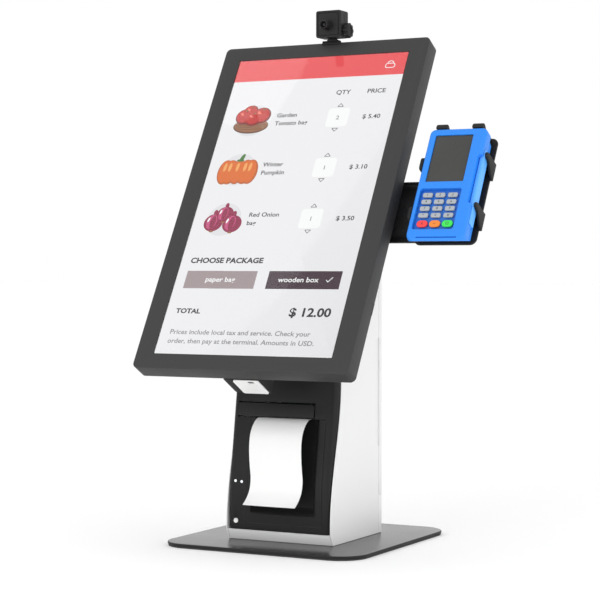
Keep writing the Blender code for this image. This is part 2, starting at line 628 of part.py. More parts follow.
def build_camera(looks, head):
    left, right = CAMERA_X - 0.0140, CAMERA_X + 0.0140
    top = HEAD_HEIGHT + 0.0018
    front, back = -0.0024, 0.0290
    piece = add_piece("camera_clip", box((left, front, HEAD_HEIGHT + GAP), (right, back, top)),
                      looks["plastic"], head)
    join(piece, box((left, front, HEAD_HEIGHT - 0.0040), (right, -GAP, top)), head)
    join(piece, box((left, HEAD_RIM + GAP, HEAD_HEIGHT - 0.0300), (right, back, top)), head)

    x, y, z = CAMERA_X, CAMERA_PAN_Y, CAMERA_TILT_Z
    pan = (x, y, 0.7000)
    pan_place = place_at("camera_pan_axis", pan, zero=pan)
    yoke = add_piece("camera_yoke", rod((x, y, 0.6999), (x, y, 0.7012), 0.0085, 24),
                     looks["plastic"], pan_place, pan)
    join(yoke, box((x - 0.005, y - 0.005, 0.7002), (x + 0.005, y + 0.005, z)), pan_place)
    join(yoke, rod((x - 0.005, y, z), (x + 0.005, y, z), 0.0060, 20), pan_place)
    cut(yoke, rod((x - 0.05, y, z), (x + 0.05, y, z), 0.0022, 12), pan_place)

    tilt = (x, y, z)
    tilt_place = place_at("camera_tilt_axis", tilt, zero=tilt)
    case = box((x - CAMERA_HALF, CAMERA_FRONT, CAMERA_LOW), (x + CAMERA_HALF, CAMERA_BACK, CAMERA_HIGH))
    round_edges(case, 1, 0.0030, 3)
    soften_face(case, 1, CAMERA_FRONT, 0.001)
    camera = add_piece("camera_body", case, looks["plastic"], tilt_place, tilt)
    cut(camera, box((x - 0.0056, 0.0520, 0.69), (x + 0.0056, 0.0690, z + 0.0067)), tilt_place)
    cut(camera, rod((x + 0.007, y, z), (x + 0.05, y, z), 0.0024, 12), tilt_place)
    root = (x, CAMERA_FRONT - GAP, LENS_Z)
    barrel = rod(root, (x, CAMERA_FRONT - 0.0160, LENS_Z), 0.0068, 32)
    lens = add_piece("camera_lens", barrel, looks["plastic"], tilt_place, root)
    cut(lens, rod((x, CAMERA_FRONT - 0.0135, LENS_Z), (x, 0.02, LENS_Z), 0.0045, 24, 0.0075), tilt_place)

    knob_place = place_at("camera_knob_axis", tilt, zero=tilt)
    start = x + CAMERA_HALF + GAP
    grip = rod((start, y, z), (start + 0.008, y, z), 0.0107, 12)
    knob = add_piece("camera_knob", grip, looks["plastic"], knob_place, tilt)
    join(knob, rod((x + 0.008, y, z), (start + 0.001, y, z), 0.0019, 12), knob_place)


# ---------------------------------------------------------------- payment terminal

def build_cradle(looks, head, cradle):
    x, d = CRADLE_X, CRADLE_AXIS_D
    arm = box((0.0900, HOUSING_BACK + GAP, 0.2210), (0.2560, HOUSING_BACK + 0.0033, 0.3150))
    round_edges(arm, 1, 0.006, 3)
    piece = add_piece("terminal_arm", arm, looks["black_metal"], head)
    for low, high in ((0.2300, 0.2430), (0.2930, 0.3060)):
        join(piece, rod((x, d, low), (x, d, high), 0.0050, 20), head)
        join(piece, box((x - 0.0035, d, low), (x + 0.0035, HOUSING_BACK + 0.002, high)), head)
        cut(piece, rod((x, d, low - 0.01), (x, d, high + 0.01), 0.0023, 16), head)
    add_piece("cradle_pin", rod((x, d, 0.2280), (x, d, 0.3080), 0.0020, 16), looks["steel"], head,
              (x, d, 0.2680))

    back = box((0.1905, PLATE_FRONT, 0.2090), (0.2790, PLATE_BACK, 0.3715))
    round_edges(back, 1, 0.008, 5)
    plate = add_piece("cradle_plate", back, looks["plastic"], cradle, (x, d, PIVOT_S))
    join(plate, rod((x, d, 0.2433), (x, d, 0.2927), 0.0050, 20), cradle)
    join(plate, box((x - 0.0045, PLATE_FRONT + 0.002, 0.2433), (x + 0.0045, d, 0.2927)), cradle)
    cut(plate, rod((x, d, 0.235), (x, d, 0.30), 0.0023, 16), cradle)
    hook = [(0.0005, 0.3664), (0.0005, 0.3705), (0.0022, 0.3735), (0.0055, 0.3745), (0.0095, 0.3728),
            (0.0130, 0.3705), (0.0380, 0.3705), (0.0380, 0.3664)]
    for centre in (0.2103, 0.2620):
        join(plate, side_profile(hook, centre - 0.008, centre + 0.008), cradle)
    for low in (0.2300, 0.3060):
        high = low + 0.026
        claw = [(0.0380, low), (0.0380, high), (0.0085, high), (0.0062, high - 0.0015),
                (0.0055, high - 0.0040), (0.0062, high - 0.0065), (0.0090, high - 0.0085),
                (0.0220, low + 0.0080)]
        join(plate, side_profile(claw, 0.2794, 0.2828), cradle)
        join(plate, box((0.2740, PLATE_FRONT, low), (0.2828, PLATE_BACK, high)), cradle)
        finger = box((0.1890, 0.0045, low), (0.1942, 0.0380, low + 0.019))
        join(plate, round_edges(finger, 0, 0.004, 3, lambda middle: middle.y < 0.02), cradle)


def build_terminal(looks, cradle):
    front = box((TERMINAL_LEFT, -0.0002, TERMINAL_LOW), (TERMINAL_RIGHT, TERMINAL_SPLIT, TERMINAL_HIGH))
    round_edges(front, 1, 0.0125, 7, lambda middle: middle.z < 0.25)
    round_edges(front, 1, 0.007, 4, lambda middle: middle.z > 0.35)
    soften_face(front, 1, -0.0002, 0.0040, 3)
    shell = add_piece("terminal_front_shell", front, looks["blue"], cradle)
    cut(shell, terminal_underside(), cradle)
    cut(shell, box((0.2062, -0.01, 0.2832), (0.2593, 0.0022, 0.3548)), cradle)
    keypad = box((0.2020, -0.01, 0.2105), (0.2605, KEYPAD_FLOOR, 0.2727))
    cut(shell, round_edges(keypad, 1, 0.0025, 3), cradle)
    cut(shell, box((0.2133, -0.01, 0.1970), (0.2740, 0.0030, 0.1982)), cradle)
    waist = 0.2722
    cut(shell, box((waist, -0.01, 0.2500), (0.29, 0.05, 0.3240)), cradle)
    cut(shell, box((waist, 0.0060, 0.2225), (0.29, 0.05, 0.3350)), cradle)

    rear = box((0.1965, TERMINAL_SPLIT + GAP, TERMINAL_LOW), (0.2735, TERMINAL_BACK, TERMINAL_HIGH - 0.002))
    round_edges(rear, 1, 0.009, 5)
    soften_face(rear, 1, TERMINAL_BACK, 0.006, 3)
    shell = add_piece("terminal_back_shell", rear, looks["blue"], cradle)
    cut(shell, terminal_underside(), cradle)
    cut(shell, box((0.2140, TERMINAL_SPLIT + 0.002, 0.18), (0.2600, TERMINAL_SPLIT + 0.004, 0.21)), cradle)
    rail = box((waist + 0.0006, 0.0063, 0.2230), (0.2788, 0.0200, 0.3345))
    join(shell, round_edges(rail, 0, 0.0015, 2), cradle)
    screen = box((0.2065, 0.0002, 0.2835), (0.2590, 0.0019, 0.3545))
    add_piece("terminal_screen", screen, looks["screen"], cradle)


def terminal_underside():
    """Cuts both shells along one slope, so that the foot is shorter towards the back."""
    slope = [(-0.01, 0.15), (-0.01, 0.1873), (0.05, 0.2215), (0.05, 0.15)]
    return side_profile(slope, 0.18, 0.30)


def build_keys(looks, cradle):
    """Twelve grey keys and three coloured ones, each free to travel into the keypad."""
    for row, s in enumerate(KEY_ROWS):
        for column, x in enumerate(KEY_COLUMNS):
            add_key(f"key_{row + 1}{column + 1}", x, s, (0.0068, 0.0033), looks["key"], cradle)
    names = (("key_cancel", "red"), ("key_clear", "amber"), ("key_enter", "green"))
    for (name, colour), x in zip(names, KEY_COLUMNS):
        add_key(name, x + 0.0012, FUNCTION_ROW, (0.0076, 0.0050), looks[colour], cradle)


def add_key(name, x, s, half, material, cradle):
    top, bottom = 0.0004, KEYPAD_FLOOR - KEY_TRAVEL - 2 * GAP
    cap = box((x - half[0], top, s - half[1]), (x + half[0], bottom, s + half[1]))
    round_edges(cap, 1, 0.75 * half[1], 3)
    soften_face(cap, 1, top, 0.0007, 1)
    add_piece(name, cap, material, cradle, (x, top, s))


def build_all():
    looks = {
        "white": finish("painted_white", (0.80, 0.80, 0.79), 0.40),
        "mirror": finish("mirror_black", (0.06, 0.06, 0.065), 0.08, 0.9),
        "rubber": finish("black_rubber", (0.02, 0.02, 0.02), 0.85),
        "plastic": finish("black_plastic", (0.030, 0.030, 0.031), 0.50),
        "bezel": finish("display_grey", (0.052, 0.052, 0.054), 0.45),
        "black_metal": finish("black_metal", (0.025, 0.025, 0.026), 0.45, 0.4),
        "steel": finish("steel", (0.60, 0.60, 0.60), 0.30, 1.0),
        "board": finish("circuit_board", (0.02, 0.15, 0.06), 0.50),
        "paper": finish("thermal_paper", (0.90, 0.90, 0.88), 0.70),
        "glass": finish("touch_glass", (0.85, 0.85, 0.85), 0.05),
        "screen": finish("screen", (0.05, 0.05, 0.055), 0.20),
        "blue": finish("terminal_blue", (0.045, 0.31, 0.93), 0.40),
        "key": finish("key_grey", (0.38, 0.40, 0.42), 0.50),
        "red": finish("key_red", (0.80, 0.06, 0.06), 0.45),
        "amber": finish("key_amber", (0.85, 0.25, 0.03), 0.45),
        "green": finish("key_green", (0.05, 0.70, 0.12), 0.45),
    }
    world = Place(None, Vector((0.0, 0.0, 0.0)))
    head = place_at("head_tilt_axis", head_point(0.0, PIVOT_D, PIVOT_S), TILT, (0.0, PIVOT_D, PIVOT_S))
    swivel = (CRADLE_X, CRADLE_AXIS_D, PIVOT_S)
    cradle = place_at("cradle_axis", head_point(*swivel), TILT, swivel)
    hinge = (COLUMN_HALF, SEAM_Y, SKIRT_TOP)
    rear_door = place_at("rear_door_axis", hinge, zero=hinge)
    printer_door = place_at("printer_door_axis", (0.0, *DOOR_AXIS), zero=(0.0, *DOOR_AXIS))
    build_base(looks, world)
    build_column(looks, world)
    build_rear(looks, world, rear_door)
    build_power(looks, world)
    build_fascia(looks, world)
    build_printer(looks, world, printer_door)
    build_receipt(looks, printer_door)
    build_printer_controls(looks, world)
    build_display(looks, head)
    build_tilt(looks, world, head)
    build_scanner(looks, head)
    build_camera(looks, head)
    build_cradle(looks, head, cradle)
    build_terminal(looks, cradle)
    build_keys(looks, cradle)


clear_scene()
PARTS = new_collection("self_checkout_kiosk")
CUTTERS = new_collection("cutters", hidden=True)
build_all()
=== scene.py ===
# Self checkout kiosk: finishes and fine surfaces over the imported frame.
import json
import math

import bmesh
import bpy
from mathutils import Euler, Matrix, Vector


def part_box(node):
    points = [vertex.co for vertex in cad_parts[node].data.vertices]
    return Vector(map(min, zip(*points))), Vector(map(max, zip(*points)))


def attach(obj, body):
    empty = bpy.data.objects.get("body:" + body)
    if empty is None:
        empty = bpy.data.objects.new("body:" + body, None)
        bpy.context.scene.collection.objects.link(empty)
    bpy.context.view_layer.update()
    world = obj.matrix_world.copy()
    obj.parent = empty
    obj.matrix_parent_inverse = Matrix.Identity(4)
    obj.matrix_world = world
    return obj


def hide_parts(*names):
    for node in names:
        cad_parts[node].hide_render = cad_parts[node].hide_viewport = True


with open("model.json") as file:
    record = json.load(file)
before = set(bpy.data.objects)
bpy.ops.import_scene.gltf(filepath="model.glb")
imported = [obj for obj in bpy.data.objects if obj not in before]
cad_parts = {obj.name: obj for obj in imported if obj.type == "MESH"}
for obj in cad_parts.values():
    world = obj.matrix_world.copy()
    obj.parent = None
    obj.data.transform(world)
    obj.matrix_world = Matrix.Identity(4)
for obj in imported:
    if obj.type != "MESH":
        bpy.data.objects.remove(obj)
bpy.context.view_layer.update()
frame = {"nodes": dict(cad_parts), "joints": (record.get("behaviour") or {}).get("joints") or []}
print("frame loaded:", len(frame["nodes"]), "nodes")

joints = {joint["name"]: joint for joint in frame["joints"]}

# the display leans back, so its pieces are modelled upright (across, back, up) and then turned
backAxis = Vector(joints["key_enter_press"]["axis"]).normalized()
upAxis = Vector(joints["cradle_swivel"]["axis"]).normalized()
headTurn = Matrix((Vector((1.0, 0.0, 0.0)), backAxis, upAxis)).transposed()


def boxIn(node, turn, origin):
    back = turn.transposed()
    points = [back @ (vertex.co - origin) for vertex in frame["nodes"][node].data.vertices]
    low = Vector([min(point[axis] for point in points) for axis in range(3)])
    high = Vector([max(point[axis] for point in points) for axis in range(3)])
    return low, high


bezelLow = boxIn("display_bezel", headTurn, Vector())[0]
headFoot = headTurn @ Vector((0.0, bezelLow.y, bezelLow.z))
headPlace = Matrix.Translation(headFoot) @ headTurn.to_4x4()
worldPlace = Matrix.Identity(4)


def headBox(node):
    return boxIn(node, headTurn, headFoot)


def middleOf(low, high):
    return (low + high) / 2


def moveShape(shape, place):
    bmesh.ops.transform(shape, matrix=place, verts=shape.verts)
    return shape


def standAlong(direction):
    # the turn that lays the up axis along a direction
    return Vector((0.0, 0.0, 1.0)).rotation_difference(Vector(direction)).to_matrix().to_4x4()


def bevelEdges(shape, edges, width, steps):
    bmesh.ops.bevel(
        shape, geom=edges, offset=width, segments=steps, profile=0.5, affect="EDGES",
        material=-1, clamp_overlap=True,
    )
    return shape


def sharpEdges(shape, angle=35, where=None):
    found = []
    for edge in shape.edges:
        middle = (edge.verts[0].co + edge.verts[1].co) / 2
        if len(edge.link_faces) == 2 and edge.calc_face_angle(0.0) > math.radians(angle):
            if where is None or where(middle):
                found.append(edge)
    return found


def edgesAlong(shape, axis, where=None):
    found = []
    for edge in shape.edges:
        first, last = (vert.co for vert in edge.verts)
        along = last - first
        if abs(along[axis]) > 0.999 * along.length and (where is None or where((first + last) / 2)):
            found.append(edge)
    return found


def block(low, high, corner=0.0, axis=2, cornerSteps=8, edge=0.0004, edgeSteps=2, where=None):
    low, high = Vector(low), Vector(high)
    shape = bmesh.new()
    size = Matrix.Diagonal((*(high - low), 1.0))
    bmesh.ops.create_cube(shape, size=1.0, matrix=Matrix.Translation((low + high) / 2) @ size)
    if corner:
        bevelEdges(shape, edgesAlong(shape, axis, where), corner, cornerSteps)
    if edge:
        bevelEdges(shape, sharpEdges(shape), edge, edgeSteps)
    return shape


def rod(start, end, radius, steps=32, edge=0.0003):
    start, end = Vector(start), Vector(end)
    shape = bmesh.new()
    bmesh.ops.create_cone(
        shape, cap_ends=True, segments=steps, radius1=radius, radius2=radius, depth=(end - start).length,
        matrix=Matrix.Translation((start + end) / 2) @ standAlong(end - start),
    )
    if edge:
        bevelEdges(shape, sharpEdges(shape), edge, 2)
    return shape


def lathe(profile, start, direction, steps=48):
    # profile holds (radius, height) from one pole to the other
    shape = bmesh.new()
    points = [shape.verts.new((radius, 0.0, height)) for radius, height in profile]
    lines = [shape.edges.new(pair) for pair in zip(points, points[1:])]
    bmesh.ops.spin(
        shape, geom=points + lines, cent=(0, 0, 0), axis=(0, 0, 1), angle=2 * math.pi,
        steps=steps, use_merge=True, use_normal_flip=False, use_duplicate=False,
    )
    bmesh.ops.remove_doubles(shape, verts=shape.verts, dist=1e-7)
    bmesh.ops.recalc_face_normals(shape, faces=shape.faces)
    return moveShape(shape, Matrix.Translation(Vector(start)) @ standAlong(direction))


def drawOut(shape, travel):
    # gives a flat shape its depth
    drawn = bmesh.ops.extrude_face_region(shape, geom=list(shape.faces))
    moved = [item for item in drawn["geom"] if isinstance(item, bmesh.types.BMVert)]
    bmesh.ops.translate(shape, verts=moved, vec=travel)
    bmesh.ops.recalc_face_normals(shape, faces=shape.faces)
    return shape


def outline(points, low, high, edge=0.0004, edgeSteps=2):
    # a flat outline in the second and third directions, drawn out along the first
    shape = bmesh.new()
    shape.faces.new([shape.verts.new((low, a, b)) for a, b in points])
    drawOut(shape, (high - low, 0.0, 0.0))
    if edge:
        bevelEdges(shape, sharpEdges(shape), edge, edgeSteps)
    return shape


def words(text, size, x, up, depth=0.0, align="CENTER", weight=0.0):
    # flat lettering that faces the front
    curve = bpy.data.curves.new("words", "FONT")
    curve.body = text
    curve.size = size
    curve.align_x = align
    curve.offset = weight * size
    curve.resolution_u = 3
    shape = meshOf(linked(bpy.data.objects.new("words", curve)))
    stand = Euler((math.pi / 2, 0.0, 0.0)).to_matrix().to_4x4()
    return moveShape(shape, Matrix.Translation((x, depth, up)) @ stand)


def plate(low, high, depth, corner=0.0, steps=6):
    # a flat card facing the front, with round corners if asked
    shape = bmesh.new()
    spots = ((low[0], low[1]), (high[0], low[1]), (high[0], high[1]), (low[0], high[1]))
    shape.faces.new([shape.verts.new((x, depth, up)) for x, up in spots])
    if corner:
        bmesh.ops.bevel(
            shape, geom=list(shape.verts), offset=corner, segments=steps, profile=0.5,
            affect="VERTICES", material=-1,
        )
    return shape


def bar(x, up, depth, length, width, turn):
    # a short flat stroke, turned in degrees
    place = Matrix.Translation((x, depth, up)) @ Matrix.Rotation(math.radians(turn), 4, "Y")
    return moveShape(plate((-length / 2, -width / 2), (length / 2, width / 2), 0.0), place)


def oval(x, up, depth, width, height, tilt=0.0):
    shape = bmesh.new()
    bmesh.ops.create_circle(shape, cap_ends=True, segments=28, radius=0.5)
    place = (Matrix.Translation((x, depth, up)) @ Matrix.Rotation(tilt, 4, "Y")
             @ Matrix.Diagonal((width, 1.0, height, 1.0)) @ Matrix.Rotation(math.pi / 2, 4, "X"))
    return moveShape(shape, place)


def gather(shapes):
    whole = bmesh.new()
    for shape in shapes:
        mesh = bpy.data.meshes.new("scratch")
        shape.to_mesh(mesh)
        shape.free()
        whole.from_mesh(mesh)
        bpy.data.meshes.remove(mesh)
    return whole


def paint(shape, index):
    for face in shape.faces:
        face.material_index = index
    return shape


def linked(item):
    bpy.context.scene.collection.objects.link(item)
    return item


def meshOf(item, *spare):
    # the evaluated shape of an object, which then goes with any others named
    bpy.context.view_layer.update()
    graph = bpy.context.evaluated_depsgraph_get()
    mesh = bpy.data.meshes.new_from_object(item.evaluated_get(graph))
    shape = bmesh.new()
    shape.from_mesh(mesh)
    bpy.data.meshes.remove(mesh)
    for old in (item, *spare):
        bpy.data.objects.remove(old, do_unlink=True)
    return shape


def scratchObject(shape):
    mesh = bpy.data.meshes.new("scratch")
    shape.to_mesh(mesh)
    shape.free()
    return linked(bpy.data.objects.new("scratch", mesh))


def carve(shape, *tools):
    for tool in tools:
        target, cutter = scratchObject(shape), scratchObject(tool)
        modifier = target.modifiers.new("cut", "BOOLEAN")
        modifier.operation = "DIFFERENCE"
        modifier.object = cutter
        shape = meshOf(target, cutter)
    return shape


def fromFrame(node, edge=0.0004, steps=2):
    # a merged copy of a frame solid with its sharp edges eased
    shape = bmesh.new()
    shape.from_mesh(frame["nodes"][node].data)
    bmesh.ops.remove_doubles(shape, verts=shape.verts, dist=2e-6)
    bmesh.ops.dissolve_limit(
        shape, angle_limit=math.radians(1.0), verts=shape.verts, edges=shape.edges,
    )
    if edge:
        bevelEdges(shape, sharpEdges(shape, 50), edge, steps)
    return shape


def finishPiece(name, shapes, body, looks, replaces=(), place=worldPlace, smooth=32):
    shape = moveShape(gather(shapes) if isinstance(shapes, list) else shapes, place)
    mesh = bpy.data.meshes.new(name)
    shape.to_mesh(mesh)
    shape.free()
    for look in ([looks] if isinstance(looks, str) else looks):
        mesh.materials.append(finishes[look])
    mesh.shade_smooth()
    mesh.set_sharp_from_angle(angle=math.radians(smooth))
    piece = linked(bpy.data.objects.new(name, mesh))
    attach(piece, body)
    if replaces:
        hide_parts(*replaces)


def fill(tree, node, inputs):
    # each input is a value, or a socket to link from
    for label, value in inputs.items():
        if isinstance(value, bpy.types.NodeSocket):
            tree.links.new(value, node.inputs[label])
        else:
            node.inputs[label].default_value = value
    return node


def addNode(tree, kind, inputs, **settings):
    node = tree.nodes.new("ShaderNode" + kind)
    for label, value in settings.items():
        setattr(node, label, value)
    return fill(tree, node, inputs)


def objectPlace(tree):
    return tree.nodes.new("ShaderNodeTexCoord").outputs["Object"]


def noiseNode(tree, scale, detail, place):
    return addNode(tree, "TexNoise", {"Scale": scale, "Detail": detail, "Vector": place}).outputs["Fac"]


def mathNode(tree, operation, first, second, clamp=False):
    return addNode(tree, "Math", {0: first, 1: second}, operation=operation, use_clamp=clamp).outputs[0]


def mixColours(tree, factor, first, second):
    # the sockets are found by name once the node's kind of data is set
    node = addNode(tree, "Mix", {}, data_type="RGBA")
    fill(tree, node, {"Factor": factor, "A": first, "B": second})
    return node.outputs["Result"]


def newGroup(name, inputs, outputs):
    group = bpy.data.node_groups.new(name, "ShaderNodeTree")
    for label, kind, value in inputs:
        group.interface.new_socket(name=label, in_out="INPUT", socket_type=kind).default_value = value
    for label, kind in outputs:
        group.interface.new_socket(name=label, in_out="OUTPUT", socket_type=kind)
    source = group.nodes.new("NodeGroupInput").outputs
    return group, source, group.nodes.new("NodeGroupOutput")


def makeGrain():
    # moulded or powder-coated texture: small round pits with a finer noise over them
    grain = {"finer": 2.3, "detail": 3.0, "share": 0.6}
    group, source, result = newGroup(
        "fineGrain",
        [("Scale", "NodeSocketFloat", 900.0), ("Mix", "NodeSocketFloat", 0.5)],
        [("Height", "NodeSocketFloat")],
    )
    place = objectPlace(group)
    cells = addNode(group, "TexVoronoi", {"Vector": place, "Scale": source["Scale"]}, feature="SMOOTH_F1")
    finer = mathNode(group, "MULTIPLY", source["Scale"], grain["finer"])
    fine = noiseNode(group, finer, grain["detail"], place)
    pits = mathNode(group, "MULTIPLY", cells.outputs["Distance"], source["Mix"])
    height = mathNode(group, "ADD", pits, mathNode(group, "MULTIPLY", fine, grain["share"]))
    fill(group, result, {"Height": height})
    return group


def makeTone():
    # slow and fine variation of a colour, with paler worn edges and a little dust on what faces up
    tone = {"slowDetail": 4.0, "fineDetail": 6.0, "finer": 14.0, "slowShare": 0.7, "fineShare": 0.3,
            "ridge": (0.52, 0.62), "worn": (0.62, 0.62, 0.62, 1.0), "dust": (0.55, 0.54, 0.52, 1.0),
            "upFrom": 0.55, "upGain": 2.2}
    group, source, result = newGroup(
        "toneAndWear",
        [("Color", "NodeSocketColor", (0.5, 0.5, 0.5, 1.0)), ("Variation", "NodeSocketFloat", 0.05),
         ("Wear", "NodeSocketFloat", 0.1), ("Dust", "NodeSocketFloat", 0.05),
         ("Scale", "NodeSocketFloat", 18.0)],
        [("Color", "NodeSocketColor"), ("Rough", "NodeSocketFloat")],
    )

    def step(operation, first, second, clamp=False):
        return mathNode(group, operation, first, second, clamp)

    place = objectPlace(group)
    slow = noiseNode(group, source["Scale"], tone["slowDetail"], place)
    fine = noiseNode(group, step("MULTIPLY", source["Scale"], tone["finer"]), tone["fineDetail"], place)
    both = step("ADD", step("MULTIPLY", slow, tone["slowShare"]), step("MULTIPLY", fine, tone["fineShare"]))
    centred = step("MULTIPLY", step("SUBTRACT", both, 0.5), 2.0)
    level = step("ADD", step("MULTIPLY", centred, source["Variation"]), 1.0)
    scaled = addNode(group, "VectorMath", {}, operation="SCALE")
    fill(group, scaled, {0: source["Color"], "Scale": level})
    geometry = group.nodes.new("ShaderNodeNewGeometry").outputs
    low, high = tone["ridge"]
    ridge = addNode(group, "MapRange", {"Value": geometry["Pointiness"], "From Min": low, "From Max": high})
    broken = step("MULTIPLY", ridge.outputs["Result"], step("ADD", fine, tone["fineShare"], True))
    wear = step("MULTIPLY", broken, source["Wear"], True)
    facing = addNode(group, "SeparateXYZ", {0: geometry["Normal"]}).outputs["Z"]
    upward = step("MULTIPLY", step("SUBTRACT", facing, tone["upFrom"]), tone["upGain"], True)
    settled = step("MULTIPLY", upward, step("MULTIPLY", fine, source["Dust"]), True)
    worn = mixColours(group, wear, scaled.outputs[0], tone["worn"])
    dusty = mixColours(group, settled, worn, tone["dust"])
    fill(group, result, {"Color": dusty, "Rough": step("ADD", both, step("MULTIPLY", settled, 2.0))})
    return group


grainGroup = makeGrain()
toneGroup = makeTone()


def newMaterial(name):
    material = bpy.data.materials.new(name)
    material.use_nodes = True
    return material, material.node_tree, material.node_tree.nodes["Principled BSDF"]


def placeGroup(tree, group, **values):
    node = tree.nodes.new("ShaderNodeGroup")
    node.node_tree = group
    return fill(tree, node, values)


def spreadOver(tree, source, low, high, start=0.0, end=1.0):
    node = addNode(tree, "MapRange", {"Value": source, "From Min": start, "From Max": end,
                                      "To Min": low, "To Max": high})
    return node.outputs["Result"]


def bumpFrom(tree, height, strength, distance):
    node = addNode(tree, "Bump", {"Height": height, "Strength": strength, "Distance": distance})
    return node.outputs["Normal"]


def surface(name, tint, roughness, swing=0.06, variation=0.06, wear=0.1, dust=0.05, scale=18.0,
            metallic=0.0, specular=0.5, coat=0.0, subsurface=0.0, grain=0, bump=0.25):
    # a solid finish: tone, wear, dust and grain from the shared groups
    material, tree, shader = newMaterial(name)
    tone = placeGroup(tree, toneGroup, Color=(*tint, 1.0), Variation=variation, Wear=wear, Dust=dust,
                      Scale=scale)
    rough = spreadOver(tree, tone.outputs["Rough"], max(roughness - swing, 0.02), roughness + swing,
                       0.25, 0.75)
    fill(tree, shader, {
        "Base Color": tone.outputs["Color"], "Roughness": rough, "Metallic": metallic,
        "Specular IOR Level": specular, "Coat Weight": coat, "Coat Roughness": 0.1,
        "Subsurface Weight": subsurface, "Subsurface Radius": (0.004, 0.004, 0.004),
    })
    if grain:
        pits = placeGroup(tree, grainGroup, Scale=grain, Mix=0.5)
        fill(tree, shader, {"Normal": bumpFrom(tree, pits.outputs["Height"], bump, 0.0002)})
    return material


def brushed(name, tint, roughness, stretch):
    # metal with fine lines along one direction
    material, tree, shader = newMaterial(name)
    along = addNode(tree, "Mapping", {"Vector": objectPlace(tree), "Scale": stretch}).outputs["Vector"]
    lines = noiseNode(tree, 400.0, 5.0, along)
    tone = placeGroup(tree, toneGroup, Color=(*tint, 1.0), Variation=0.05, Wear=0.05, Dust=0.02)
    fill(tree, shader, {
        "Base Color": tone.outputs["Color"], "Metallic": 1.0,
        "Roughness": spreadOver(tree, lines, roughness - 0.08, roughness + 0.1),
        "Normal": bumpFrom(tree, lines, 0.12, 0.0001),
    })
    return material


def glowing(name, tint, strength=1.0):
    # a lit patch of the screen, with the panel's fine unevenness
    material, tree, shader = newMaterial(name)
    dots = noiseNode(tree, 2600.0, 2.0, objectPlace(tree))
    lit = mixColours(tree, dots, (*[value * 0.985 for value in tint], 1.0), (*tint, 1.0))
    fill(tree, shader, {
        "Emission Color": lit, "Emission Strength": strength, "Base Color": (0.0, 0.0, 0.0, 1.0),
        "Roughness": 0.6, "Specular IOR Level": 0.0,
    })
    return material


def clearGlass(name, roughness):
    material, tree, shader = newMaterial(name)
    smears = noiseNode(tree, 14.0, 6.0, objectPlace(tree))
    fill(tree, shader, {
        "Roughness": spreadOver(tree, smears, roughness, roughness + 0.04), "IOR": 1.45,
        "Base Color": (0.97, 0.98, 0.98, 1.0), "Transmission Weight": 1.0, "Specular IOR Level": 0.07,
    })
    return material


def shade(value):
    # a display value (0 to 255) as the linear one that the shaders take
    value = value / 255
    return value / 12.92 if value <= 0.04045 else ((value + 0.055) / 1.055) ** 2.4


def colour(red, green, blue):
    return tuple(shade(value) for value in (red, green, blue))


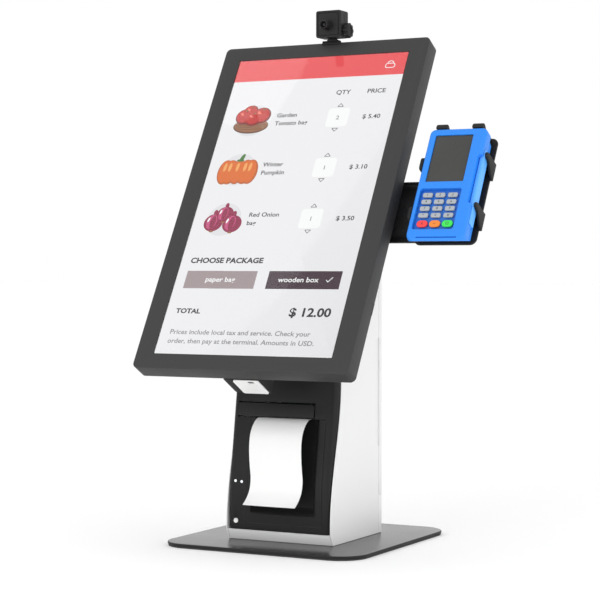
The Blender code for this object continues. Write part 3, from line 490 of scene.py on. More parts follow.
terminalSkin = dict(roughness=0.42, specular=0.35, grain=1500, bump=0.12, wear=0.03, dust=0.02,
                    variation=0.03)
keySkin = dict(roughness=0.5, grain=1800, bump=0.12, wear=0.05)
finishLooks = {
    "paintedWhite": dict(tint=(0.8, 0.8, 0.8), roughness=0.42, grain=700, bump=0.08, wear=0.0,
                         variation=0.012, specular=0.4),
    "whitePlastic": dict(tint=(0.86, 0.86, 0.85), roughness=0.45, grain=1500, bump=0.1, wear=0.0,
                         variation=0.02),
    "glossBlack": dict(tint=(0.03, 0.03, 0.03), roughness=0.24, swing=0.03, wear=0.0, dust=0.02,
                       variation=0.05, specular=0.9),
    "blackRubber": dict(tint=(0.018, 0.018, 0.018), roughness=0.85, grain=1200, bump=0.4),
    "blackPlastic": dict(tint=(0.011, 0.011, 0.011), roughness=0.55, grain=1600, bump=0.18, wear=0.03,
                         dust=0.02, variation=0.08, specular=0.22),
    "smoothBlack": dict(tint=(0.008, 0.008, 0.008), roughness=0.3, wear=0.02, variation=0.05,
                        specular=0.35),
    "displayGrey": dict(tint=(0.034, 0.034, 0.034), roughness=0.5, grain=1700, bump=0.12, wear=0.03,
                        dust=0.02, variation=0.05, specular=0.3),
    "blackMetal": dict(tint=(0.01, 0.01, 0.01), roughness=0.5, grain=900, dust=0.02, variation=0.08,
                       specular=0.25),
    "zincSteel": dict(tint=(0.5, 0.51, 0.53), roughness=0.35, metallic=1.0, grain=500, bump=0.05, wear=0.0),
    "circuitBoard": dict(tint=(0.012, 0.12, 0.05), roughness=0.35, coat=0.4, wear=0.0, scale=60.0,
                         variation=0.15),
    "chipBlack": dict(tint=(0.015, 0.015, 0.016), roughness=0.55, grain=2500, wear=0.0),
    "paper": dict(tint=(0.89, 0.89, 0.885), roughness=0.75, grain=1800, bump=0.06, wear=0.0, dust=0.0,
                  variation=0.01, subsurface=0.1),
    "cardCore": dict(tint=(0.42, 0.31, 0.2), roughness=0.85, grain=900, bump=0.3),
    "terminalBlue": dict(tint=colour(38, 132, 232), **terminalSkin),
    # a lighter copy of the terminal blue: painted highlight for the raised rail
    "terminalLight": dict(tint=colour(92, 172, 255), **terminalSkin),
    "screenDark": dict(tint=(0.052, 0.052, 0.05), roughness=0.3, wear=0.0, variation=0.04,
                       specular=0.25),
    "keyGrey": dict(tint=colour(162, 168, 174), roughness=0.55, grain=1800, bump=0.12, wear=0.08, dust=0.02),
    "keyRed": dict(tint=colour(240, 60, 60), **keySkin),
    "keyAmber": dict(tint=colour(240, 130, 40), **keySkin),
    "keyGreen": dict(tint=colour(50, 220, 80), **keySkin),
    # a darker copy of the terminal blue: painted shade for the keypad's recessed floor
    "terminalDeep": dict(tint=colour(34, 104, 196), roughness=0.55, wear=0.0, dust=0.0),
    "keyInk": dict(tint=(0.03, 0.03, 0.035), roughness=0.6, wear=0.0, dust=0.0),
    "lensGlass": dict(tint=(0.008, 0.008, 0.01), roughness=0.22, swing=0.01, wear=0.0, dust=0.0,
                      specular=0.3),
    "rollPaper": dict(tint=(0.86, 0.86, 0.85), roughness=0.65, grain=2200, bump=0.15, wear=0.0, dust=0.0,
                      variation=0.02),
}
screenColours = {
    "ground": colour(244, 243, 245), "header": colour(240, 78, 82), "ink": colour(60, 58, 62),
    "soft": colour(150, 148, 152), "card": colour(255, 255, 255), "taupe": colour(166, 150, 152),
    "brown": colour(75, 57, 66), "red": colour(200, 30, 22), "lightOrange": colour(246, 172, 92),
    "darkRed": colour(128, 14, 14), "orange": colour(228, 108, 22), "darkOrange": colour(196, 96, 22),
    "green": colour(70, 122, 52), "purple": colour(150, 22, 72), "lightPurple": colour(204, 76, 128),
    "blush": colour(244, 128, 108), "straw": colour(156, 104, 66), "darkStraw": colour(104, 64, 40),
    "mist": colour(232, 231, 234),
}
inkNames = {name: "screen" + name[0].upper() + name[1:] for name in screenColours}

finishes = {name: surface(name, **look) for name, look in finishLooks.items()}
finishes["brushedSteel"] = brushed("brushedSteel", (0.58, 0.58, 0.59), 0.3, (0.03, 1.0, 1.0))
finishes["touchGlass"] = clearGlass("touchGlass", 0.02)
finishes["statusWhite"] = glowing("statusWhite", (0.95, 0.97, 1.0), 1.2)
for name, label in inkNames.items():
    finishes[label] = glowing(label, screenColours[name])
print("finishes made:", len(finishes))

# pieces that are the frame's own solids with eased edges: node, body, finish, slot, edge, steps
easedPieces = {
    "columnFloor": ("column_floor", "column", "paintedWhite", "painted_white", 0.0005, 2),
    "topCover": ("top_cover", "column", "paintedWhite", "painted_white", 0.0005, 2),
    "rearSkirt": ("rear_skirt", "column", "paintedWhite", "painted_white", 0.0005, 2),
    "frontFascia": ("front_fascia", "column", "blackPlastic", "black_plastic", 0.0007, 3),
    "tearBar": ("tear_bar", "column", "brushedSteel", "bright_steel", 0.0001, 1),
    "statusLights": ("status_lights", "column", "statusWhite", "white_plastic", 0.0003, 2),
    "rollBucket": ("roll_bucket", "column", "blackPlastic", "black_plastic", 0.0005, 2),
    "printHead": ("print_head", "column", "zincSteel", "bright_steel", 0.0003, 2),
    "neckBracket": ("neck_bracket", "column", "blackMetal", "black_metal", 0.0006, 3),
    "scannerHousing": ("scanner_housing", "display_head", "blackPlastic", "black_plastic", 0.0006, 3),
    "cameraClip": ("camera_clip", "display_head", "blackPlastic", "black_plastic", 0.0005, 3),
    "cameraYoke": ("camera_yoke", "camera_yoke", "blackPlastic", "black_plastic", 0.0005, 3),
    "terminalArm": ("terminal_arm", "display_head", "blackMetal", "black_metal", 0.0007, 3),
    "cradlePin": ("cradle_pin", "display_head", "zincSteel", "bright_steel", 0.0003, 2),
    "rearLock": ("rear_lock", "rear_lock", "zincSteel", "bright_steel", 0.0004, 2),
    "powerSwitch": ("power_switch", "power_switch", "smoothBlack", "black_plastic", 0.0005, 3),
}


def makeEased():
    for name, (node, body, look, slot, edge, steps) in easedPieces.items():
        finishPiece(name, fromFrame(node, edge, steps), body, look, [node])


def makeBase():
    base = {"corner": 0.04, "cornerSteps": 28, "edge": 0.0011, "topFrom": 0.9, "padInset": 0.001,
            "padEdge": 0.0003}
    low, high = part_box("base_plate")
    slab = block(low, high, base["corner"], 2, base["cornerSteps"], base["edge"], 4)
    slab.normal_update()
    for face in slab.faces:
        face.material_index = 0 if face.normal.z > base["topFrom"] else 1
    finishPiece("basePlate", slab, "column", ["glossBlack", "blackMetal"], ["base_plate"])
    low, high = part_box("base_pad")
    sheet = block(low, high, base["corner"] - base["padInset"], 2, base["cornerSteps"], base["padEdge"], 1)
    finishPiece("basePad", sheet, "column", "blackRubber", ["base_pad"])


def smoothStep(value):
    value = min(max(value, 0.0), 1.0)
    return value * value * (3 - 2 * value)


def leanAt(z):
    # the y of the fascia's front, which stands further back towards its top
    lean = {"front": -0.0857, "travel": 0.0218, "start": 0.05, "span": 0.2}
    return lean["front"] + lean["travel"] * smoothStep((z - lean["start"]) / lean["span"])


def screwHead(spot, direction, radius=0.0026, height=0.0012):
    # a pan head with a cross recess
    rise = [(0.0, height), (radius * 0.45, height * 0.97), (radius * 0.8, height * 0.72),
            (radius, height * 0.2), (radius, 0.0), (0.0, 0.0)]
    head = lathe(rise, (0.0, 0.0, 0.0), (0.0, 0.0, 1.0), 20)
    arm, half, floor, top = radius * 0.55, radius * 0.55 * 0.22, height * 0.4, height * 2
    head = carve(head, block((-arm, -half, floor), (arm, half, top), edge=0),
                 block((-half, -arm, floor), (half, arm, top), edge=0))
    return moveShape(head, Matrix.Translation(spot) @ standAlong(Vector(direction).normalized()))


def makeColumn():
    column = {"curveStart": 0.03, "curveSpan": 0.195, "curveSteps": 44, "edge": 0.0006, "sheet": 0.0015,
              "toeDepth": 0.0074, "toeTop": 0.0207, "topFrom": 0.3, "flangeEnd": -0.0715,
              "flange": (0.01, 0.445), "hinge": (0.13, 0.28), "hingeRadius": 0.0028}
    for node, name, side in (("side_panel_left", "leftPanel", -1), ("side_panel_right", "rightPanel", 1)):
        low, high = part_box(node)
        points = [vert.co for vert in frame["nodes"][node].data.vertices]
        topFront = min(point.y for point in points if point.z > column["topFrom"])
        shoulder = max(point.z for point in points if abs(point.y - topFront) < 1e-5)
        edge = [(low.y + column["toeDepth"], low.z), (low.y, column["toeTop"])]
        for step in range(column["curveSteps"] + 1):
            z = column["curveStart"] + column["curveSpan"] * step / column["curveSteps"]
            rise = smoothStep((z - column["curveStart"]) / column["curveSpan"])
            edge.append((low.y + (topFront - low.y) * rise, z))
        edge += [(topFront, shoulder), (high.y, high.z), (high.y, low.z)]
        outer = high.x if side > 0 else low.x
        first, last = sorted((outer - side * column["sheet"], outer))
        shapes = [outline(edge, first, last, column["edge"], 3)]
        if side < 0:
            foot, top = column["flange"]
            shapes.append(block((outer + 0.001, high.y - column["sheet"], foot),
                                (column["flangeEnd"], high.y, top)))
        else:
            foot, top = ((outer, high.y + 0.0003, z) for z in column["hinge"])
            shapes = [carve(shapes[0], rod(foot, top, column["hingeRadius"], 24, 0))]
        finishPiece(name, shapes, "column", "paintedWhite", [node])


def makeFascia():
    fascia = {"groove": 0.0017, "setBack": 0.0011, "gap": 0.0012, "reach": 0.006, "face": 0.002,
              "lipEdge": 0.0006, "crown": 0.0004}
    low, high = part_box("paper_exit_lip")
    lip = fromFrame("paper_exit_lip", 0)
    top = [vert for vert in lip.verts if vert.co.z > high.z - fascia["reach"]]
    bmesh.ops.translate(lip, verts=top, vec=(0.0, 0.0, -fascia["groove"]))
    end = [vert for vert in lip.verts if vert.co.x > high.x - fascia["reach"]]
    bmesh.ops.translate(lip, verts=end, vec=(-fascia["gap"], 0.0, 0.0))
    front = [vert for vert in top if vert.co.y < high.y - fascia["face"]]
    bmesh.ops.translate(lip, verts=front, vec=(0.0, fascia["setBack"], 0.0))
    bevelEdges(lip, sharpEdges(lip, 40), fascia["lipEdge"], 3)
    finishPiece("exitLip", lip, "column", "blackPlastic", ["paper_exit_lip"])
    low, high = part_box("feed_button")
    middle, crown = middleOf(low, high), fascia["crown"]
    radius = (high.x - low.x) / 2
    dish = [(0.0, 0.0), (radius * 0.5, 0.00008), (radius * 0.86, crown), (radius * 0.97, crown / 2),
            (radius, -crown), (radius, low.y - high.y), (0.0, low.y - high.y)]
    cap = lathe(dish, (middle.x, low.y + crown, middle.z), (0.0, -1.0, 0.0), 36)
    finishPiece("feedButton", cap, "feed_button", "whitePlastic", ["feed_button"])


def makePrinterDoor():
    door = {"rows": 86, "columns": 72, "left": 0.0052, "right": 0.0085, "foot": 0.0135, "depth": 0.0156,
            "leftSlope": 0.003, "rightSlope": 0.012, "footSlope": 0.011, "ease": 0.85,
            "thickness": 0.019, "backTop": 0.1705, "earWidth": 0.003, "earFrom": (-0.055, 0.157),
            "earTo": (-0.043, 0.169), "screwUp": 0.13, "screwIn": 0.01}
    low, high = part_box("printer_door")
    # the front is a grid pressed in to make the recess, which is open at the top
    shape = bmesh.new()
    bmesh.ops.create_grid(shape, x_segments=door["columns"], y_segments=door["rows"], size=0.5)
    moveShape(shape, Matrix.Translation(((low.x + high.x) / 2, 0.0, (low.z + high.z) / 2))
              @ Matrix.Diagonal((high.x - low.x, 1.0, high.z - low.z, 1.0))
              @ Matrix.Rotation(math.pi / 2, 4, "X"))
    front = list(shape.verts)
    twin = bmesh.ops.duplicate(shape, geom=shape.verts[:] + shape.edges[:] + shape.faces[:])
    back = [item for item in twin["geom"] if isinstance(item, bmesh.types.BMVert)]
    for vert in front:
        fromLeft = smoothStep((vert.co.x - low.x - door["left"]) / door["leftSlope"])
        fromRight = smoothStep((high.x - vert.co.x - door["right"]) / door["rightSlope"])
        fromFoot = smoothStep((vert.co.z - low.z - door["foot"]) / door["footSlope"])
        pressed = min(fromLeft, fromRight, fromFoot) ** door["ease"]
        vert.co.y = leanAt(vert.co.z) + door["depth"] * pressed
    squeeze = (door["backTop"] - low.z) / (high.z - low.z)
    for vert in back:
        vert.co.y = leanAt(vert.co.z) + door["thickness"]
        vert.co.z = low.z + (vert.co.z - low.z) * squeeze
    rims = [edge for edge in shape.edges if len(edge.link_faces) == 1]
    bmesh.ops.bridge_loops(shape, edges=rims)
    bmesh.ops.recalc_face_normals(shape, faces=shape.faces)
    shapes = [shape]
    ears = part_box("platen_roller")
    for x in (ears[0].x + 0.0015, ears[1].x - 0.0045):
        shapes.append(block((x, *door["earFrom"]), (x + door["earWidth"], *door["earTo"]), 0.004, 0, 6))
    foot = leanAt(low.z) + door["thickness"]
    shapes.append(block((low.x + 0.006, foot - 0.0002, low.z + 0.002),
                        (high.x - 0.006, foot + 0.0018, low.z + 0.008)))
    screwBack = leanAt(door["screwUp"]) + door["thickness"] - 0.0008
    for x in (low.x + door["screwIn"], high.x - door["screwIn"]):
        shapes.append(screwHead((x, screwBack, door["screwUp"]), (0, 1, 0)))
    finishPiece("printerDoor", shapes, "printer_door", "blackPlastic", ["printer_door"])


def receiptRoute():
    # the receipt's own fall, from the slot to its curled end, in (y, z)
    knots = [(-0.059, 0.1738), (-0.069, 0.1739), (-0.079, 0.1698), (-0.0875, 0.1612),
             (-0.0928, 0.151), (-0.0952, 0.137), (-0.095, 0.122), (-0.0932, 0.1065),
             (-0.0912, 0.092), (-0.0945, 0.0775), (-0.103, 0.0665), (-0.1135, 0.0587)]
    return [Vector(knot) for knot in knots]


def smoothLine(knots, steps):
    padded = [2 * knots[0] - knots[1]] + knots + [2 * knots[-1] - knots[-2]]
    line = []
    for a, b, c, d in zip(padded, padded[1:], padded[2:], padded[3:]):
        for step in range(steps):
            t = step / steps
            line.append(0.5 * (2 * b + (c - a) * t + (2 * a - 5 * b + 4 * c - d) * t ** 2
                               + (3 * b - a - 3 * c + d) * t ** 3))
    return line + [knots[-1]]


def makeReceipt():
    receipt = {"across": 16, "thickness": 0.00012, "bow": 0.0006}
    low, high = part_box("receipt_paper")
    line = smoothLine(receiptRoute(), 7)
    sheet = bmesh.new()
    bmesh.ops.create_grid(sheet, x_segments=receipt["across"], y_segments=len(line) - 1, size=0.5)
    for vert in sheet.verts:
        along = min(int(round((0.5 - vert.co.y) * (len(line) - 1))), len(line) - 1)
        across = vert.co.x * 2
        spot = line[along]
        lift = receipt["bow"] * (1 - across * across) * along / len(line)
        vert.co = Vector(((low.x + high.x) / 2 + vert.co.x * (high.x - low.x), spot.x - lift, spot.y))
    bmesh.ops.recalc_face_normals(sheet, faces=sheet.faces)
    bmesh.ops.solidify(sheet, geom=list(sheet.faces), thickness=receipt["thickness"])
    finishPiece("receipt", sheet, "printer_door", "paper", ["receipt_paper"], smooth=60)


def makeDisplay():
    display = {"corner": 0.0075, "edge": 0.0014, "lip": 0.0007, "gap": 0.0003, "wall": 0.0028,
               "bezelBack": 0.003, "through": 0.05, "pocketCorner": 0.0045, "glassCorner": 0.0012,
               "catch": ((-0.004, 0.0232, 0.096), (0.0002, 0.0262, 0.115))}
    low, high = headBox("display_bezel")
    glassLow, glassHigh = headBox("touch_glass")
    gap, wall, through = display["gap"], display["wall"], display["through"]
    body = block((low.x, 0.0, 0.0), high, display["corner"], 1, 12, display["edge"], 4)
    window = block((glassLow.x - gap, -0.01, glassLow.z - gap),
                   (glassHigh.x + gap, through, glassHigh.z + gap), edge=0)
    pocket = block((low.x + wall, display["bezelBack"], wall), (high.x - wall, through, high.z - wall),
                   display["pocketCorner"], 1, 6, 0)
    body = carve(body, window, pocket)
    opening = sharpEdges(body, 60, lambda spot: abs(spot.y) < 1e-4)
    bevelEdges(body, opening, display["lip"], 3)
    # the catch that the rear cover's edge hooks under
    side = Vector((high.x, 0.0, 0.0))
    catchLow, catchHigh = (side + Vector(corner) for corner in display["catch"])
    catch = block(catchLow, catchHigh, 0.002, 0, 4)
    finishPiece("displayBezel", [body, catch], "display_head", "displayGrey",
                ["display_bezel"], headPlace)
    pane = block(glassLow, glassHigh, display["glassCorner"], 1, 4, 0.0003, 2)
    finishPiece("touchGlass", pane, "display_head", "touchGlass", ["touch_glass"], headPlace)


def makeScreen():
    names = list(screenColours)
    low, high = headBox("touch_glass")
    backLow, backHigh = headBox("lcd_panel")
    base = backLow.y
    layout = {"left": -0.119, "quantity": 0.0489, "price": 0.1002, "picture": -0.086, "names": -0.048,
              "headerFoot": 0.4595, "headings": 0.4305, "package": 0.162, "step": 0.00004,
              "text": 0.0098, "title": 0.0094, "count": 0.009, "cost": 0.0096, "label": 0.0104,
              "choice": 0.0112, "sum": 0.0176, "boxHalf": (0.0165, 0.015), "boxCorner": 0.004,
              "arrowTip": 0.0228, "arrowFoot": 0.0178, "line": 0.0009, "buttons": (0.1225, 0.1496),
              "tick": ((0.0975, 0.1347, 0.0046, 45), (0.1019, 0.1368, 0.0092, -48)), "total": 0.0845}
    shapes = []

    def put(shape, ink):
        shapes.append(paint(shape, names.index(ink)))

    def depth(layer):
        return base - layout["step"] * layer

    def card(x0, up0, x1, up1, layer, ink, corner=0.0):
        put(plate((x0, up0), (x1, up1), depth(layer), corner), ink)

    def write(text, size, x, up, ink="ink", align="CENTER", layer=3, stretch=1.12, weight=0.018):
        shape = words(text, size, 0.0, up, depth(layer), align, weight)
        for vert in shape.verts:
            vert.co.x = x + vert.co.x * stretch
        put(shape, ink)

    def spot(x, up, width, height, ink, layer=3, tilt=0.0):
        put(oval(x, up, depth(layer), width, height, tilt), ink)

    def stroke(x, up, length, width, turn, ink, layer=4):
        put(bar(x, up, depth(layer), length, width, turn), ink)

    card(low.x, low.z, high.x, high.z, 1, "ground")
    card(low.x, layout["headerFoot"], high.x, high.z, 2, "header")
    makeBag(card, stroke)
    left, middle, line = layout["left"], layout["quantity"], layout["line"]
    write("QTY", layout["text"], middle - 0.0015, layout["headings"])
    write("PRICE", layout["text"], layout["price"] - 0.0019, layout["headings"])
    rows = (
        (0.392, "Garden", "Tomato bag", "2", "$ 5.40", "tomato"),
        (0.311, "Winter", "Pumpkin", "1", "$ 3.10", "pumpkin"),
        (0.2303, "Red Onion", "bag", "1", "$ 3.50", "onion"),
    )
    wide, tall = layout["boxHalf"]
    for up, title, note, count, price, kind in rows:
        makeFood(spot, card, kind, layout["picture"], up)
        write(title, layout["title"], layout["names"], up + 0.004, align="LEFT")
        write(note, layout["title"], layout["names"], up - 0.0092, align="LEFT")
        card(middle - wide, up - tall, middle + wide, up + tall, 2, "card", layout["boxCorner"])
        write(count, layout["count"], middle, up - 0.0032, "soft")
        for side in (-1, 1):
            tip, foot = up + side * layout["arrowTip"], up + side * layout["arrowFoot"]
            stroke(middle, foot, 0.0088, line, 0, "ink")
            for lean in (-1, 1):
                stroke(middle + lean * 0.0022, (tip + foot) / 2, 0.0066, line, side * lean * 49, "ink")
        write(price, layout["cost"], layout["price"], up - 0.0034)
    write("CHOOSE PACKAGE", layout["choice"], left, layout["package"], align="LEFT", stretch=1.15,
          weight=0.04)
    for x0, x1, ink, label, shift in ((-0.119, -0.01, "taupe", "paper bag", 0.0),
                                      (0.008, 0.1171, "brown", "wooden box", -0.008)):
        card(x0, layout["buttons"][0], x1, layout["buttons"][1], 2, ink)
        write(label, layout["label"], (x0 + x1) / 2 + shift, 0.133, "card", layer=4)
    for x, up, length, turn in layout["tick"]:
        stroke(x, up, length, 0.0012, turn, "card")
    write("TOTAL", layout["text"], left, layout["total"], align="LEFT", stretch=1.2, weight=0.04)
    write("$ 12.00", layout["sum"], 0.0844, 0.082, stretch=1.15, weight=0.03)
    write("Prices include local tax and service. Check your", layout["text"], left, 0.053, "soft", "LEFT")
    write("order, then pay at the terminal. Amounts in USD.", layout["text"], left, 0.0395, "soft", "LEFT")
    finishPiece("screenPicture", shapes, "display_head", list(inkNames.values()), (),
                headPlace)
    panel = block(backLow, backHigh, 0.002, 1, 4)
    finishPiece("screenPanel", panel, "display_head", "screenDark", ["lcd_panel"], headPlace)


def makeBag(card, stroke):
    # an outlined shopping basket at the header's right
    bag = {"x": 0.1093, "up": 0.475, "half": (0.0075, 0.0041), "line": 0.0011, "corner": 0.0034,
           "handle": (0.0042, 0.0034), "steps": 9, "length": 0.0019}
    x, up, line, (wide, tall) = bag["x"], bag["up"], bag["line"], bag["half"]
    card(x - wide, up - tall, x + wide, up + tall, 3, "card", bag["corner"])
    card(x - wide + line, up - tall + line, x + wide - line, up + tall - line, 4, "header",
         bag["corner"] - 0.001)
    across, rise = bag["handle"]
    for step in range(bag["steps"]):
        angle = math.pi * (step + 0.5) / bag["steps"]
        stroke(x + across * math.cos(angle), up + tall + rise * math.sin(angle), bag["length"], line,
               90 - math.degrees(angle), "card", 5)


def makeFood(spot, card, kind, x, up):
    # a pale disc with the goods drawn over it from overlapping shapes
    spot(x, up, 0.054, 0.052, "mist", 2)
    if kind == "tomato":
        spot(x, up - 0.009, 0.056, 0.025, "darkStraw", 4)
        spot(x, up - 0.008, 0.053, 0.022, "straw", 5)
        for row, reach in ((-0.014, 0.02), (-0.0105, 0.024), (-0.007, 0.0255)):
            card(x - reach, up + row - 0.0005, x + reach, up + row + 0.0005, 6, "darkStraw")
        for dx, dy, size in ((-0.014, 0.007, 0.026), (0.0135, 0.008, 0.027), (0.001, 0.003, 0.024),
                             (-0.006, 0.015, 0.022)):
            spot(x + dx, up + dy, size * 1.08, size, "darkRed", 7)
            spot(x + dx - 0.0008, up + dy + 0.0012, size * 0.92, size * 0.84, "red", 8)
            spot(x + dx - size * 0.18, up + dy + size * 0.18, size * 0.26, size * 0.14, "blush", 9, 0.6)
            spot(x + dx + size * 0.05, up + dy + size * 0.38, size * 0.16, size * 0.07, "green", 9, 0.3)
    if kind == "pumpkin":
        ribs = ((-0.02, 0.024), (0.02, 0.024), (-0.012, 0.025), (0.012, 0.025), (0.0, 0.023))
        for dx, width in ribs:
            spot(x + dx, up - 0.004, width, 0.04, "darkOrange", 3)
            spot(x + dx - 0.0006, up - 0.003, width * 0.78, 0.036, "orange", 4)
            spot(x + dx - 0.0016, up + 0.004, width * 0.2, 0.014, "lightOrange", 5, 0.1)
        spot(x + 0.002, up + 0.019, 0.006, 0.014, "green", 6, 0.4)
        spot(x, up + 0.015, 0.012, 0.004, "green", 6)
    if kind == "onion":
        for dx, dy, size in ((-0.015, -0.005, 0.03), (0.015, -0.007, 0.03), (0.0, 0.008, 0.027)):
            spot(x + dx, up + dy, size, size * 0.92, "purple", 3)
            spot(x + dx, up + dy + size * 0.52, size * 0.22, size * 0.34, "purple", 3)
            spot(x + dx - 0.003, up + dy + 0.0015, size * 0.52, size * 0.76, "lightPurple", 4, 0.2)
            spot(x + dx - 0.001, up + dy + 0.0008, size * 0.28, size * 0.7, "purple", 5, 0.1)
            spot(x + dx - size * 0.28, up + dy + size * 0.16, size * 0.1, size * 0.26, "card", 6, 0.3)
            spot(x + dx, up + dy - size * 0.46, size * 0.22, size * 0.1, "straw", 5)


def makeRearCover():
    cover = {"slots": 13, "pitch": 0.0135, "slotHalf": 0.0021, "slotDepth": 0.0045,
             "rows": ((0.392, 0.44), (0.085, 0.125)), "field": ((-0.125, 0.13), (-0.062, 0.175)),
             "fieldDepth": 0.0012, "through": 0.07, "screws": (0.128, (0.075, 0.445)), "socketUp": 0.15,
             "sockets": ((-0.115, 0.0145, 0.0055), (-0.095, 0.014, 0.013), (-0.076, 0.0115, 0.005)),
             "rim": 0.0008, "tongue": 0.36}
    high = headBox("rear_cover")[1]
    half, through = cover["slotHalf"], cover["through"]
    tools = []
    for rowLow, rowHigh in cover["rows"]:
        for step in range(cover["slots"]):
            x = (step - (cover["slots"] - 1) / 2) * cover["pitch"]
            tools.append(block((x - half, high.y - cover["slotDepth"], rowLow), (x + half, through, rowHigh),
                               half * 0.98, 1, 6, 0))
    # a sunken field for the sockets, low on the right
    (x0, up0), (x1, up1) = cover["field"]
    floor = high.y - cover["fieldDepth"]
    tools.append(block((x0, floor, up0), (x1, through, up1), 0.003, 1, 5, 0))
    shape = moveShape(fromFrame("rear_cover"), headPlace.inverted())
    shapes = [carve(shape, gather(tools))]
    reach, heights = cover["screws"]
    for up in heights:
        for x in (-reach, reach):
            shapes.append(screwHead((x, high.y, up), (0, 1, 0), 0.003, 0.001))
    finishPiece("rearCover", shapes, "display_head", "blackPlastic", ["rear_cover"],
                headPlace)
    ports, up, rim = [], cover["socketUp"], cover["rim"]
    for x, wide, tall in cover["sockets"]:
        wide, tall = wide / 2, tall / 2
        shell = block((x - wide - rim, floor, up - tall - rim),
                      (x + wide + rim, high.y - 0.0002, up + tall + rim), rim, 1, 3, 0.0002)
        hole = block((x - wide, floor + 0.0001, up - tall), (x + wide, through, up + tall), edge=0)
        ports.append(paint(carve(shell, hole), 0))
        reach = wide * 2 * cover["tongue"]
        tongue = block((x - reach, high.y - 0.001, up - rim), (x + reach, high.y - 0.0004, up + rim), edge=0)
        ports.append(paint(tongue, 1))
    finishPiece("rearSockets", ports, "display_head", ["zincSteel", "chipBlack"], (),
                headPlace)


def makeTilt():
    tilt = {"bolt": 0.0042, "boltHeight": 0.0022, "boltBack": 0.0538, "across": 0.042, "ups": (0.213, 0.327),
            "pin": 0.005, "nut": 0.0085, "nutLength": 0.0037, "inset": 0.001}
    shapes = [fromFrame("tilt_plate", 0.0006, 3)]
    for x in (-tilt["across"], tilt["across"]):
        for up in tilt["ups"]:
            bolt = screwHead((x, tilt["boltBack"], up), (0, 1, 0), tilt["bolt"], tilt["boltHeight"])
            shapes.append(moveShape(bolt, headPlace))
    finishPiece("tiltPlate", shapes, "display_head", "blackMetal", ["tilt_plate"])
    low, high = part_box("tilt_axle")
    middle, length = middleOf(low, high), tilt["nutLength"]

    def spot(x):
        return (x, middle.y, middle.z)

    pin = [rod(spot(low.x + tilt["inset"]), spot(high.x - tilt["inset"]), tilt["pin"], 40)]
    for x in (low.x, high.x - length):
        pin.append(rod(spot(x), spot(x + length), tilt["nut"], 6, 0.0005))
    pin.append(rod(spot(low.x), spot(low.x + 0.0012), 0.0044, 24))
    finishPiece("tiltAxle", pin, "column", "zincSteel", ["tilt_axle"])


def makeScanner():
    scanner = {"x": (0.0022, 0.0118), "y": (0.029, 0.0345), "depth": 0.0012, "corner": 0.003,
               "gap": 0.0002, "pane": (0.0007, 0.0011)}
    low, high = headBox("scanner_face")
    (x0, x1), (y0, y1), gap = scanner["x"], scanner["y"], scanner["gap"]
    face = block(low, high, scanner["corner"], 2, 8, 0.0007, 3)
    window = block((x0, y0, low.z - 0.001), (x1, y1, low.z + scanner["depth"]), 0.0024, 2, 10, 0)
    finishPiece("scannerFace", carve(face, window), "display_head", "whitePlastic",
                ["scanner_face"], headPlace)
    foot, top = (low.z + height for height in scanner["pane"])
    pane = block((x0 + gap, y0 + gap, foot), (x1 - gap, y1 - gap, top), 0.0022, 2, 10, 0.0001)
    finishPiece("scannerWindow", pane, "display_head", "smoothBlack", (), headPlace)


